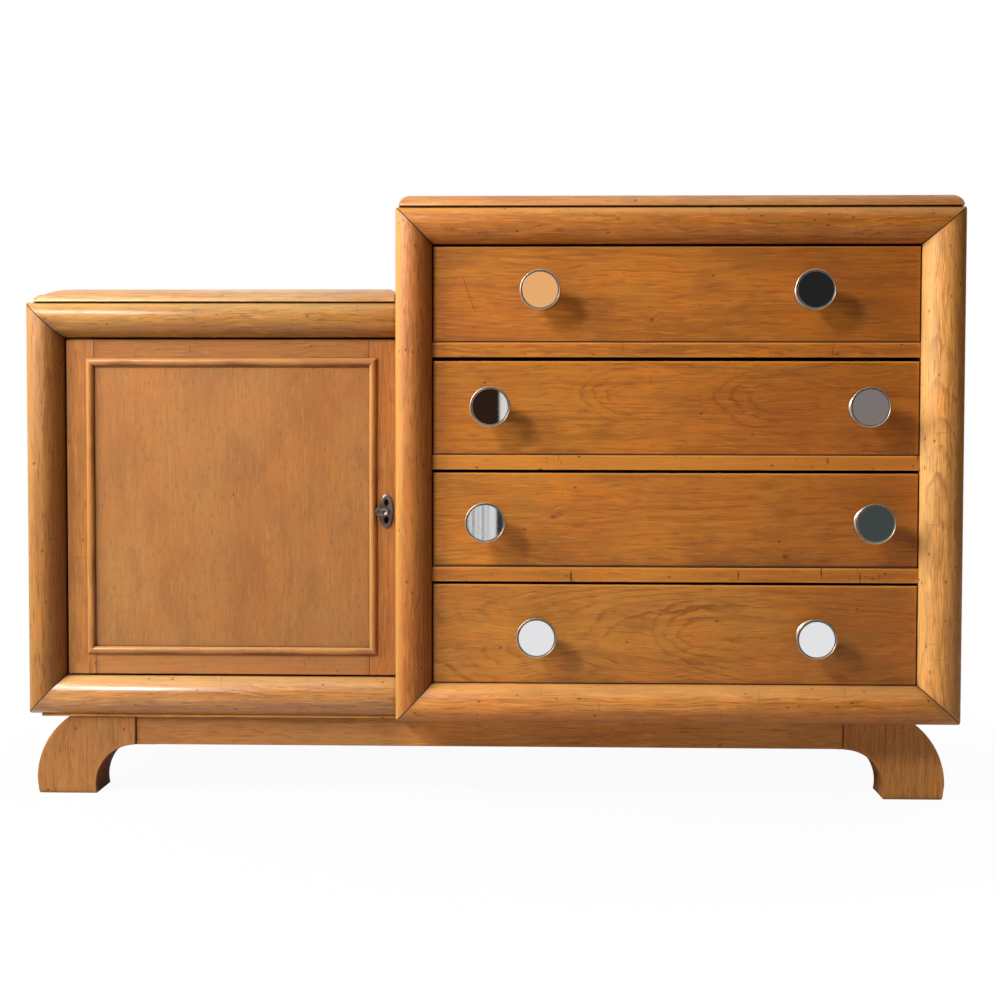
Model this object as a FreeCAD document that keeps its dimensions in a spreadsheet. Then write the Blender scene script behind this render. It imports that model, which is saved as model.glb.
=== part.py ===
"""Stepped commode: a low cupboard with one door beside a taller chest of four drawers.

The frame stands on the floor at z = 0, centred in plan. +X is to the viewer's right,
+Y goes back and +Z is up, so the fronts face -Y. All sizes are in millimetres.
"""
import FreeCAD, Part
import Sketcher
import os
import re

DIMENSIONS = {
    # Overall sizes
    "overall_width": 1242,
    "chest_width": 741,
    "chest_depth": 460,
    "cupboard_setback": 44,
    "base_height": 109,
    "chest_frame_height": 675.5,
    "cupboard_frame_height": 555,
    # Half-round front frames
    "moulding_projection": 22,
    "jamb_depth": 24,
    "frame_corner_radius": 7,
    "chest_left_width": 48,
    "chest_right_width": 57,
    "chest_top_width": 48.5,
    "chest_bottom_width": 51,
    "cupboard_left_width": 51,
    "cupboard_top_width": 47,
    "cupboard_bottom_width": 52,
    # Carcass boards
    "board_thickness": 20,
    "back_thickness": 6,
    "chest_floor_thickness": 14,
    "cupboard_floor_thickness": 18,
    "shelf_thickness": 18,
    "shelf_height": 215,
    "shelf_setback": 40,
    "batten_width": 15,
    "batten_height": 20,
    # Top boards: a rounded edge on the chest, a nose under a long thumb mould on the cupboard
    "chest_top_thickness": 15,
    "chest_top_inset": 5,
    "chest_top_run": 16,
    "cupboard_top_thickness": 20,
    "cupboard_top_inset": 11.5,
    "cupboard_top_gap": 4,
    "cupboard_nose_run": 10.5,
    "cupboard_nose_height": 10,
    "cupboard_thumb_run": 48,
    "cupboard_end_run": 14,
    "cupboard_end_drop": 7,
    "top_front_inset": 12,
    "top_lip": 1,
    # Base with bracket feet
    "base_board_thickness": 4,
    "base_board_inset": 16,
    "base_board_lead": 1.5,
    "base_setback": 66,
    "foot_inset": 9,
    "foot_width": 134.5,
    "foot_thickness": 70,
    "rear_foot_thickness": 45,
    "foot_top_inset": 45,
    "foot_shoulder_height": 20,
    "foot_toe_inset": 2,
    "foot_toe_radius": 4,
    "foot_sole": 80,
    "plinth_rail_height": 38.5,
    "plinth_recess": 4,
    "plinth_thickness": 20,
    # Drawer openings
    "drawer_rail_height": 19.4,
    "drawer_rail_depth": 60,
    "runner_reach": 18,
    "guide_height": 40,
    "kicker_height": 20,
    "lower_opening_height": 134.6,
    # Drawers
    "seat_gap": 0.4,
    "drawer_gap_one": 3,
    "drawer_gap_two": 5,
    "drawer_gap_three": 4,
    "drawer_gap_four": 3.5,
    "drawer_side_gap": 1.5,
    "drawer_front_thickness": 20,
    "drawer_side_thickness": 12,
    "drawer_side_drop": 10,
    "drawer_back_thickness": 10,
    "drawer_back_gap": 14,
    "drawer_bottom_thickness": 5,
    "drawer_bottom_height": 8,
    "groove_depth": 5,
    "tail_depth": 12,
    "tail_width": 26,
    "tail_flare": 4,
    # Knobs
    "knob_projection": 38,
    "knob_head_diameter": 52,
    "knob_head_thickness": 12,
    "knob_rim_width": 1.8,
    "knob_face_drop": 0.8,
    "knob_head_back_diameter": 40,
    "knob_base_diameter": 44,
    "knob_base_thickness": 5,
    "knob_neck_diameter": 20,
    "knob_spacing_one": 352,
    "knob_spacing_two": 487.5,
    "knob_spacing_three": 501.5,
    "knob_spacing_four": 361,
    "knob_offset_one": -0.5,
    "knob_offset_two": 3,
    "knob_offset_three": 4,
    "knob_offset_four": 0.5,
    "knob_rise_one": 3,
    "knob_rise_two": 1,
    "knob_rise_three": -2,
    "knob_rise_four": -1,
    # Door
    "door_gap": 2.5,
    "door_lock_gap": 2,
    "door_thickness": 20,
    "stile_width": 37,
    "door_rail_width": 37,
    "panel_recess": 1.5,
    "panel_thickness": 12,
    "bead_side_inset": 26.5,
    "bead_top_inset": 25,
    "bead_bottom_inset": 26.5,
    "bead_width": 10.6,
    "bead_projection": 5,
    # Pivot hinges
    "pivot_inset": 14,
    "pivot_setback": 7,
    "pivot_pin_radius": 2.5,
    "pivot_clearance": 0.05,
    "pivot_pin_length": 12,
    "pivot_plate_thickness": 2,
    "pivot_plate_length": 34,
    "pivot_plate_lead": 4,
    "pivot_plate_width": 16,
    "socket_radius": 4.5,
    "socket_length": 14,
    # Lock with its turn lever
    "lock_backset": 14,
    "lock_height": 221,
    "escutcheon_width": 20,
    "escutcheon_height": 48,
    "escutcheon_thickness": 2.5,
    "escutcheon_bevel": 2.5,
    "piercing_width": 5,
    "piercing_height": 9,
    "piercing_offset": 14,
    "lever_length": 18,
    "lever_width": 11,
    "lever_thickness": 4,
    "lever_tail": 3,
    "lever_standoff": 8,
    "spindle_radius": 4,
    "spindle_clearance": 0.05,
    "crank_throw": 5,
    "crank_width": 8,
    "crank_thickness": 3,
    "crank_pin_radius": 2,
    "crank_pin_play": 0.6,
    "bolt_thickness": 5,
    "bolt_half_height": 13,
    "bolt_length": 26,
    "bolt_setback": 0.6,
    "bolt_play": 0.3,
    "lock_case_depth": 14,
    "lock_case_half_height": 30,
    "lock_case_length": 36,
    "lock_case_wall": 2,
    "lock_case_setback": 1,
    "strike_thickness": 1.5,
    "strike_margin": 8,
    "strike_mortise_depth": 14,
}

# Lengths and places that follow from the driving dimensions
DERIVED = {
    "left_end": "-overall_width / 2",
    "right_end": "overall_width / 2",
    "chest_left": "right_end - chest_width",
    "back_plane": "(chest_depth + knob_projection - moulding_projection) / 2",
    "back_inside": "back_plane - back_thickness",
    "chest_crest": "back_plane - chest_depth",
    "chest_face": "chest_crest + moulding_projection",
    "chest_frame_back": "chest_face + jamb_depth",
    "cupboard_crest": "chest_crest + cupboard_setback",
    "cupboard_face": "cupboard_crest + moulding_projection",
    "cupboard_frame_back": "cupboard_face + jamb_depth",
    "chest_frame_top": "base_height + chest_frame_height",
    "cupboard_frame_top": "base_height + cupboard_frame_height",
    "left_inside": "left_end + board_thickness",
    "chest_left_inside": "chest_left + board_thickness",
    "right_inside": "right_end - board_thickness",
    # Base
    "foot_height": "base_height - base_board_thickness",
    "foot_front": "chest_crest + base_setback",
    "foot_arch_height": "foot_height - plinth_rail_height",
    "foot_shoulder_rise": "foot_height - foot_shoulder_height",
    "foot_shoulder_radius": "(foot_top_inset ^ 2 + foot_shoulder_rise ^ 2) / (2 * foot_top_inset)",
    "foot_arch_run": "foot_width - foot_toe_inset - foot_sole",
    "foot_arch_radius": "(foot_arch_run ^ 2 + foot_arch_height ^ 2) / (2 * foot_arch_height)",
    # Chest opening and its drawers
    "opening_left": "chest_left + chest_left_width",
    "opening_right": "right_end - chest_right_width",
    "opening_floor": "base_height + chest_bottom_width",
    "opening_ceiling": "chest_frame_top - chest_top_width",
    "opening_centre": "(opening_left + opening_right) / 2",
    "upper_opening_height": "(opening_ceiling - opening_floor - lower_opening_height"
                            " - 3 * drawer_rail_height) / 3",
    "seat_four": "opening_floor",
    "seat_three": "seat_four + lower_opening_height + drawer_rail_height",
    "seat_two": "seat_three + upper_opening_height + drawer_rail_height",
    "seat_one": "seat_two + upper_opening_height + drawer_rail_height",
    "drawer_height_one": "upper_opening_height - seat_gap - drawer_gap_one",
    "drawer_height_two": "upper_opening_height - seat_gap - drawer_gap_two",
    "drawer_height_three": "upper_opening_height - seat_gap - drawer_gap_three",
    "drawer_height_four": "lower_opening_height - seat_gap - drawer_gap_four",
    "drawer_left": "opening_left + drawer_side_gap",
    "drawer_right": "opening_right - drawer_side_gap",
    "drawer_front_back": "chest_face + drawer_front_thickness",
    "drawer_end": "back_inside - drawer_back_gap",
    "runner_front": "chest_face + drawer_rail_depth",
    # Door
    "door_left": "left_end + cupboard_left_width + door_gap",
    "door_right": "chest_left - door_lock_gap",
    "door_bottom": "base_height + cupboard_bottom_width + door_gap",
    "door_top": "cupboard_frame_top - cupboard_top_width - door_gap",
    "door_back": "cupboard_face + door_thickness",
    "pivot_x": "door_left + pivot_inset",
    "pivot_y": "cupboard_face + pivot_setback",
    "bead_left": "door_left + bead_side_inset",
    "bead_right": "door_right - bead_side_inset",
    "bead_bottom": "door_bottom + bead_bottom_inset",
    "bead_top": "door_top - bead_top_inset",
    # Lock
    "lock_x": "door_right - lock_backset",
    "lock_z": "door_bottom + lock_height",
    "crank_front": "door_back + lock_case_wall",
    "bolt_front": "crank_front + crank_thickness + bolt_play",
    "bolt_back": "bolt_front + bolt_thickness",
    "bolt_tip": "door_right - bolt_setback",
    "bolt_tail": "bolt_tip - bolt_length",
    "lock_case_right": "door_right - lock_case_setback",
    "lock_case_left": "lock_case_right - lock_case_length",
    "lock_case_back": "door_back + lock_case_depth",
    "slot_half_width": "crank_pin_radius + crank_pin_play",
}

doc = FreeCAD.newDocument("commode")
sheet = doc.addObject("Spreadsheet::Sheet", "Sheet")
for row, (alias, size) in enumerate(DIMENSIONS.items(), start=1):
    sheet.set(f"A{row}", alias)
    sheet.set(f"B{row}", str(size))
    sheet.setAlias(f"B{row}", alias)
doc.recompute()

TAILS_A_SIDE = 3
LEAST_CUT = 1e-7
WORD = re.compile(r"[a-z_]+")
UPRIGHT = FreeCAD.Vector(0, 0, 1)
ACROSS = FreeCAD.Vector(1, 0, 0)
INWARD = FreeCAD.Vector(0, 1, 0)
subparts = []


def formula(text):
    """Write out a formula in named sizes as an expression on the sheet's cells."""
    def cell(match):
        word = match.group()
        return f"({formula(DERIVED[word])})" if word in DERIVED else f"Sheet.{word}"
    return WORD.sub(cell, text)


def value(text):
    """Work out a formula in millimetres."""
    return float(sheet.evalExpression(formula(text)))


def bind(thing, **properties):
    """Bind an object's properties to formulas."""
    for name, text in properties.items():
        thing.setExpression(name, formula(text))
    return thing


def place(thing, x, y, z, axis=UPRIGHT, turn=0):
    """Turn an object about an axis and put its origin at a point given by formulas."""
    thing.Placement = FreeCAD.Placement(FreeCAD.Vector(), FreeCAD.Rotation(axis, turn))
    for letter, text in zip("xyz", (x, y, z)):
        thing.setExpression(f"Placement.Base.{letter}", formula(text))
    return thing


def subpart(thing, label):
    """Name a finished piece, so that it is checked and written."""
    thing.Label = label
    subparts.append(thing)
    return thing


def block(low, high):
    """A squared board between two corners."""
    box = doc.addObject("Part::Box", "Block")
    sides = [f"({far}) - ({near})" for near, far in zip(low, high)]
    bind(box, Length=sides[0], Width=sides[1], Height=sides[2])
    return place(box, *low)


def rod(radius, length, x, y, z, axis=UPRIGHT, turn=0):
    """A round bar, upright unless it is turned."""
    bar = doc.addObject("Part::Cylinder", "Rod")
    bind(bar, Radius=radius, Height=length)
    return place(bar, x, y, z, axis, turn)


def group(pieces):
    """Separate solids that share one node."""
    together = doc.addObject("Part::Compound", "Group")
    together.Links = pieces
    return together


def joined(pieces):
    """Solids made as one piece."""
    union = doc.addObject("Part::MultiFuse", "Joined")
    union.Shapes = pieces
    return union


def without(base, tools):
    """A piece with other shapes cut out of it, which has to make it smaller."""
    cut = doc.addObject("Part::Cut", "Without")
    cut.Base = base
    cut.Tool = joined(tools) if len(tools) > 1 else tools[0]
    doc.recompute()
    check_smaller(cut, base)
    return cut


def check_smaller(cut, base):
    """Stop if a cut took nothing away."""
    if cut.Shape.Volume > base.Shape.Volume * (1 - LEAST_CUT):
        raise RuntimeError(f"{cut.Name} cut nothing from {base.Name}")


def sketch_on(body, role):
    """An empty sketch on one of a body's own origin planes."""
    sketch = body.newObject("Sketcher::SketchObject", "Sketch")
    plane = [feature for feature in body.Origin.OriginFeatures if feature.Role == role][0]
    sketch.AttachmentSupport = [(plane, "")]
    sketch.MapMode = "FlatFace"
    return sketch


def fix(sketch, edge, end, kind, text):
    """Hold one coordinate of a point of a sketch at a formula's value."""
    index = sketch.addConstraint(Sketcher.Constraint(kind, -1, 1, edge, end, value(text)))
    sketch.setExpression(f"Constraints[{index}]", formula(text))


def outline(sketch, corners):
    """Draw a closed outline through corners of (u, v) or (u, v, radius, bulge).

    A corner with a radius is joined to the next one by an arc, and bulge is +1 where the
    arc lies to the right of the way round and -1 where it lies to the left.
    """
    points = [FreeCAD.Vector(value(corner[0]), value(corner[1]), 0) for corner in corners]
    first = sketch.GeometryCount
    for index, corner in enumerate(corners):
        start = points[index]
        end = points[(index + 1) % len(points)]
        if len(corner) == 2:
            sketch.addGeometry(Part.LineSegment(start, end), False)
        else:
            sketch.addGeometry(arc(start, end, value(corner[2]), corner[3]), False)
    for index, corner in enumerate(corners):
        edge = first + index
        begin = edge_start(corner)
        fix(sketch, edge, begin, "DistanceX", corner[0])
        fix(sketch, edge, begin, "DistanceY", corner[1])
        follower = (index + 1) % len(corners)
        sketch.addConstraint(Sketcher.Constraint(
            "Coincident", edge, 3 - begin, first + follower, edge_start(corners[follower])))
        if len(corner) > 2:
            radius = sketch.addConstraint(Sketcher.Constraint("Radius", edge, value(corner[2])))
            sketch.setExpression(f"Constraints[{radius}]", formula(corner[2]))


def edge_start(corner):
    """Which end of an edge is its first: an arc runs anticlockwise, so a left arc is reversed."""
    return 2 if len(corner) > 2 and corner[3] < 0 else 1


def arc(start, end, radius, bulge):
    """The shorter arc of a radius between two points, on one side of their chord."""
    chord = end - start
    middle = (start + end) * 0.5
    right = FreeCAD.Vector(chord.y, -chord.x, 0).normalize()
    rise = radius - max(radius ** 2 - chord.Length ** 2 / 4, 0) ** 0.5
    return Part.Arc(start, middle + right * (rise * bulge), end)


def pad(body, sketch, length, reverse=False):
    """Extrude a sketch."""
    feature = body.newObject("PartDesign::Pad", "Pad")
    feature.Profile = sketch
    feature.Reversed = reverse
    bind(feature, Length=length)
    doc.recompute()
    return feature


def pocket(body, sketch, length, reverse=False):
    """Cut a sketch out of what the body holds so far."""
    base = body.Tip
    feature = body.newObject("PartDesign::Pocket", "Pocket")
    feature.Profile = sketch
    feature.Reversed = reverse
    bind(feature, Length=length)
    doc.recompute()
    check_smaller(feature, base)
    return feature


def revolve(body, sketch):
    """Turn a sketch about its horizontal axis."""
    feature = body.newObject("PartDesign::Revolution", "Revolution")
    feature.Profile = sketch
    feature.ReferenceAxis = (sketch, ["H_Axis"])
    feature.Angle = 360
    doc.recompute()
    return feature


def half_round(width, projection, depth, length, start_mitre, end_mitre, corner=None):
    """A half-round length, mitred where it meets lengths of other widths.

    It runs along +X with its outer edge at z = 0. Its flat base is on y = 0, the round
    stands out to -Y, and a square jamb of the given depth, if any, goes back to +Y.
    With a corner radius, the outer corners that it shares at its mitres are rounded.
    """
    body = doc.addObject("PartDesign::Body", "HalfRound")
    section = sketch_on(body, "YZ_Plane")
    crown = f"(({width}) ^ 2 / 4 + ({projection}) ^ 2) / (2 * ({projection}))"
    jamb = [(depth, "0"), (depth, width)] if depth else []
    outline(section, [("0", "0")] + jamb + [("0", width, crown, 1)])
    pad(body, section, length)
    ends = []
    if start_mitre:
        ends.append([("0", "0"), *rounding(start_mitre, width, corner),
                     (start_mitre, width), ("0", width)])
    if end_mitre:
        mirrored = [(f"({length}) - ({u})", *rest) for u, *rest in rounding(end_mitre, width, corner)]
        ends.append([(length, width), (f"({length}) - ({end_mitre})", width),
                     *backwards(mirrored), (length, "0")])
    mitres = sketch_on(body, "XZ_Plane")
    for end in ends:
        outline(mitres, end)
    bind(mitres, **{"AttachmentOffset.Base.z": projection})
    pocket(body, mitres, f"({projection}) + ({depth or 0})")
    return body


def rounding(run, width, corner):
    """The arc at an outer corner, from the outer edge to the mitre that climbs by width over run."""
    if not corner:
        return []
    reach = f"{corner} * ({run} + {width} - (2 * {run} * {width}) ^ 0.5) / ({run} ^ 2 + {width} ^ 2)"
    return [(corner, "0", corner, -1), (f"{reach} * {run}", f"{reach} * {width}")]


def backwards(arc_corners):
    """The same arc, gone round from its other end after it was mirrored."""
    if not arc_corners:
        return []
    (start_u, start_v, radius, bulge), end = arc_corners
    return [(*end, radius, bulge), (start_u, start_v)]


def frame_member(label, width, length, start_mitre, end_mitre, turn, x, y, z):
    """One side of a half-round front frame, turned about Y into its place."""
    member = half_round(width, "moulding_projection", "jamb_depth", length, start_mitre, end_mitre,
                        "frame_corner_radius")
    subpart(place(member, x, y, z, INWARD, turn), label)


def front_frames():
    """The mitred frames: four sides round the drawers, three round the door."""
    frame_member("chest_moulding_left", "chest_left_width", "chest_frame_height",
                 "chest_top_width", "chest_bottom_width", 90,
                 "chest_left", "chest_face", "chest_frame_top")
    frame_member("chest_moulding_right", "chest_right_width", "chest_frame_height",
                 "chest_bottom_width", "chest_top_width", -90,
                 "right_end", "chest_face", "base_height")
    frame_member("chest_moulding_top", "chest_top_width", "chest_width",
                 "chest_right_width", "chest_left_width", 180,
                 "right_end", "chest_face", "chest_frame_top")
    frame_member("chest_moulding_bottom", "chest_bottom_width", "chest_width",
                 "chest_left_width", "chest_right_width", 0,
                 "chest_left", "chest_face", "base_height")
    cupboard_run = "overall_width - chest_width"
    frame_member("cupboard_moulding_left", "cupboard_left_width", "cupboard_frame_height",
                 "cupboard_top_width", "cupboard_bottom_width", 90,
                 "left_end", "cupboard_face", "cupboard_frame_top")
    frame_member("cupboard_moulding_top", "cupboard_top_width", cupboard_run,
                 None, "cupboard_left_width", 180,
                 "chest_left", "cupboard_face", "cupboard_frame_top")
    frame_member("cupboard_moulding_bottom", "cupboard_bottom_width", cupboard_run,
                 "cupboard_left_width", None, 0,
                 "left_end", "cupboard_face", "base_height")


def carcass():
    """Sides, partition, floors, backs and the cupboard's shelf."""
    subpart(block(("left_end", "cupboard_frame_back", "base_height"),
                  ("left_inside", "back_plane", "cupboard_frame_top")), "left_side")
    subpart(block(("right_inside", "chest_frame_back", "base_height"),
                  ("right_end", "back_plane", "chest_frame_top")), "right_side")
    floor_top = "base_height + cupboard_bottom_width"
    subpart(block(("left_inside", "cupboard_frame_back", f"{floor_top} - cupboard_floor_thickness"),
                  ("chest_left", "back_inside", floor_top)), "cupboard_floor")
    subpart(block(("chest_left_inside", "chest_frame_back", "base_height"),
                  ("right_inside", "back_inside", "base_height + chest_floor_thickness")),
            "chest_floor")
    subpart(block(("left_inside", "back_inside", "base_height"),
                  ("chest_left", "back_plane", "cupboard_frame_top")), "cupboard_back")
    subpart(block(("chest_left_inside", "back_inside", "base_height"),
                  ("right_inside", "back_plane", "chest_frame_top")), "chest_back")
    shelf_front = "cupboard_frame_back + shelf_setback"
    shelf_bottom = f"{floor_top} + shelf_height"
    subpart(block(("left_inside", shelf_front, shelf_bottom),
                  ("chest_left", "back_inside", f"{shelf_bottom} + shelf_thickness")),
            "cupboard_shelf")
    batten_bottom = f"{shelf_bottom} - batten_height"
    subpart(group([
        block(("left_inside", shelf_front, batten_bottom),
              ("left_inside + batten_width", "back_inside", shelf_bottom)),
        block(("chest_left - batten_width", shelf_front, batten_bottom),
              ("chest_left", "back_inside", shelf_bottom)),
        block(("chest_left - batten_width", "cupboard_frame_back", "cupboard_frame_top - batten_height"),
              ("chest_left", "back_inside", "cupboard_frame_top")),
    ]), "shelf_battens")
    board = block(("chest_left", "chest_frame_back", "base_height"),
                  ("chest_left_inside", "back_plane", "chest_frame_top"))
    recess = block(("chest_left", "bolt_front - bolt_play - strike_margin",
                    "lock_z - bolt_half_height - strike_margin"),
                   ("chest_left + strike_thickness", "bolt_back + bolt_play + strike_margin",
                    "lock_z + bolt_half_height + strike_margin"))
    mortise = bolt_passage("chest_left", "chest_left + strike_mortise_depth")
    subpart(without(board, [recess, mortise]), "partition")
    subpart(without(recess, [mortise]), "strike_plate")


def bolt_passage(near, far):
    """The hole that the lock's bolt slides through, with its play all round."""
    return block((near, "bolt_front - bolt_play", "lock_z - bolt_half_height - bolt_play"),
                 (far, "bolt_back + bolt_play", "lock_z + bolt_half_height + bolt_play"))


def thumb_top(label, length, depth, left_edge, right_edge, x, y, z):
    """A top board with moulded edges; the front has the same mould as the left end.

    An edge is a list of (run, height) points, from its lip up to the flat top.
    """
    thickness = left_edge[-1][1]
    body = doc.addObject("PartDesign::Body", "Top")
    face = sketch_on(body, "XZ_Plane")
    left_rounds = rounds(left_edge)
    right_rounds = rounds(right_edge)
    outline(face, [
        ("0", "0"),
        (length, "0"),
        *[(f"{length} - ({run})", height, radius, 1)
          for (run, height), radius in zip(right_edge, right_rounds)],
        (f"{length} - ({right_edge[-1][0]})", thickness),
        *[(run, height, radius, 1)
          for (run, height), radius in zip(left_edge[:0:-1], left_rounds[::-1])],
        left_edge[0],
    ])
    pad(body, face, depth, reverse=True)
    front = sketch_on(body, "YZ_Plane")
    outline(front, [
        ("0", thickness),
        *[(run, height, radius, -1) for (run, height), radius in zip(left_edge, left_rounds)],
        left_edge[-1],
    ])
    pocket(body, front, length, reverse=True)
    subpart(place(body, x, y, z), label)


def rounds(edge):
    """Radii of the arcs up an edge, each running out level where it ends."""
    return [f"((({far}) - ({near})) ^ 2 + (({high}) - ({low})) ^ 2) / (2 * (({high}) - ({low})))"
            for (near, low), (far, high) in zip(edge, edge[1:])]


def tops():
    """The chest's top board and the cupboard's lower one."""
    chest_edge = [("0", "top_lip"), ("chest_top_run", "chest_top_thickness")]
    thumb_top("chest_top", "(chest_width - 2 * chest_top_inset)", "(chest_depth - top_front_inset)",
              chest_edge, chest_edge,
              "chest_left + chest_top_inset", "chest_crest + top_front_inset", "chest_frame_top")
    nosed_edge = [("0", "top_lip"), ("cupboard_nose_run", "cupboard_nose_height"),
                  ("cupboard_thumb_run", "cupboard_top_thickness")]
    eased_edge = [("0", "cupboard_top_thickness - cupboard_end_drop"),
                  ("cupboard_end_run", "cupboard_top_thickness")]
    thumb_top("cupboard_top",
              "(overall_width - chest_width - cupboard_top_inset - cupboard_top_gap)",
              "(chest_depth - cupboard_setback - top_front_inset)", nosed_edge, eased_edge,
              "left_end + cupboard_top_inset", "cupboard_crest + top_front_inset",
              "cupboard_frame_top")


def foot(x, y, thickness, turn):
    """A bracket foot: a swelling shoulder outside, a hollow arch inside."""
    body = doc.addObject("PartDesign::Body", "Foot")
    face = sketch_on(body, "XZ_Plane")
    outline(face, [
        ("foot_toe_inset + foot_toe_radius", "0"),
        ("foot_toe_inset + foot_sole", "0", "foot_arch_radius", -1),
        ("foot_width", "foot_arch_height"),
        ("foot_width", "foot_height"),
        ("foot_top_inset", "foot_height", "foot_shoulder_radius", 1),
        ("0", "foot_shoulder_height"),
        ("foot_toe_inset", "foot_toe_radius", "foot_toe_radius", 1),
    ])
    pad(body, face, thickness, reverse=True)
    return place(body, x, y, "0", UPRIGHT, turn)


def base():
    """Bracket feet and the plinth rails between them, under a thin base board."""
    subpart(block(("left_end + base_board_inset", "foot_front - base_board_lead", "foot_height"),
                  ("right_end - base_board_inset", "back_plane", "base_height")), "base_board")
    outer_left = "left_end + foot_inset"
    outer_right = "right_end - foot_inset"
    half_turn = 180
    subpart(foot(outer_left, "foot_front", "foot_thickness", 0), "front_left_foot")
    subpart(foot(outer_right, "foot_front + foot_thickness", "foot_thickness", half_turn),
            "front_right_foot")
    rear_front = "back_plane - rear_foot_thickness"
    subpart(group([foot(outer_left, rear_front, "rear_foot_thickness", 0),
                   foot(outer_right, "back_plane", "rear_foot_thickness", half_turn)]), "rear_feet")
    inner_left = f"{outer_left} + foot_width"
    inner_right = f"{outer_right} - foot_width"
    rail_front = "foot_front + plinth_recess"
    rail_back = "back_plane - plinth_recess"
    subpart(block((inner_left, rail_front, "foot_arch_height"),
                  (inner_right, f"{rail_front} + plinth_thickness", "foot_height")),
            "plinth_front_rail")
    subpart(block((inner_left, f"{rail_back} - plinth_thickness", "foot_arch_height"),
                  (inner_right, rail_back, "foot_height")), "plinth_back_rail")
    side_front = "foot_front + foot_thickness"
    side_inset = "foot_top_inset + plinth_recess"
    subpart(group([
        block((f"{outer_left} + {side_inset}", side_front, "foot_arch_height"),
              (f"{outer_left} + {side_inset} + plinth_thickness", rear_front, "foot_height")),
        block((f"{outer_right} - {side_inset} - plinth_thickness", side_front, "foot_arch_height"),
              (f"{outer_right} - {side_inset}", rear_front, "foot_height")),
    ]), "plinth_side_rails")


def drawer_carriers():
    """Rails between the drawers, and the runners, guides and kickers behind the frame."""
    subpart(group([
        block(("opening_left", "chest_face", f"{seat} - drawer_rail_height"),
              ("opening_right", "runner_front", seat))
        for seat in ("seat_one", "seat_two", "seat_three")
    ]), "drawer_rails")
    runners = []
    guides = []
    for seat in ("seat_one", "seat_two", "seat_three", "seat_four"):
        front = "chest_frame_back" if seat == "seat_four" else "runner_front"
        runners.append(block(("chest_left_inside", front, f"{seat} - drawer_rail_height"),
                             ("opening_left + runner_reach", "back_inside", seat)))
        runners.append(block(("opening_right - runner_reach", front, f"{seat} - drawer_rail_height"),
                             ("right_inside", "back_inside", seat)))
        guides.append(block(("chest_left_inside", front, seat),
                            ("opening_left", "back_inside", f"{seat} + guide_height")))
        guides.append(block(("opening_right", front, seat),
                            ("right_inside", "back_inside", f"{seat} + guide_height")))
    subpart(group(runners), "drawer_runners")
    subpart(group(guides), "drawer_guides")
    subpart(group([
        block(("chest_left_inside", "chest_frame_back", "opening_ceiling"),
              ("opening_left + runner_reach", "back_inside", "opening_ceiling + kicker_height")),
        block(("opening_right - runner_reach", "chest_frame_back", "opening_ceiling"),
              ("right_inside", "back_inside", "opening_ceiling + kicker_height")),
    ]), "drawer_kickers")


def tail(x, z):
    """One dovetail at the front end of a drawer side, widest at its tip."""
    wedge = doc.addObject("Part::Wedge", "Tail")
    bind(wedge, Xmin="0", X2min="0", Xmax="drawer_side_thickness", X2max="drawer_side_thickness",
         Ymin="0", Ymax="tail_depth", Zmin="0", Zmax="tail_width",
         Z2min="tail_flare", Z2max="tail_width - tail_flare")
    return place(wedge, x, "drawer_front_back - tail_depth", z)


def drawer(number, word):
    """A drawer: dovetailed sides, a back, a bottom held in grooves, and two knobs."""
    height = f"drawer_height_{word}"
    foot_z = f"seat_{word} + seat_gap"
    side_height = f"({height} - drawer_side_drop)"
    left_inner = "drawer_left + drawer_side_thickness"
    right_inner = "drawer_right - drawer_side_thickness"
    bottom_low = f"{foot_z} + drawer_bottom_height"
    bottom_high = f"{bottom_low} + drawer_bottom_thickness"
    bottom = block((f"{left_inner} - groove_depth", "drawer_front_back - groove_depth", bottom_low),
                   (f"{right_inner} + groove_depth", "drawer_end", bottom_high))
    sides = []
    sockets = []
    for edge, inner in (("drawer_left", left_inner), (right_inner, "drawer_right")):
        pitch = f"{side_height} / {TAILS_A_SIDE}"
        tails = [tail(edge, f"{foot_z} + {pitch} * {step} + ({pitch} - tail_width) / 2")
                 for step in range(TAILS_A_SIDE)]
        side = block((edge, "drawer_front_back", foot_z),
                     (inner, "drawer_end", f"{foot_z} + {side_height}"))
        sides.append(without(joined([side] + tails), [bottom]))
        sockets += tails
    front = block(("drawer_left", "chest_face", foot_z),
                  ("drawer_right", "drawer_front_back", f"{foot_z} + {height}"))
    subpart(without(front, sockets + [bottom]), f"drawer_{number}_front")
    subpart(group(sides), f"drawer_{number}_sides")
    subpart(block((left_inner, "drawer_end - drawer_back_thickness", bottom_high),
                  (right_inner, "drawer_end", f"{foot_z} + {side_height}")),
            f"drawer_{number}_back")
    subpart(bottom, f"drawer_{number}_bottom")
    knob_z = f"{foot_z} + {height} / 2 + knob_rise_{word}"
    middle = f"opening_centre + knob_offset_{word}"
    reach = f"knob_spacing_{word} / 2"
    subpart(group(knob(f"{middle} - {reach}", knob_z) + knob(f"{middle} + {reach}", knob_z)),
            f"drawer_{number}_knobs")


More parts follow.
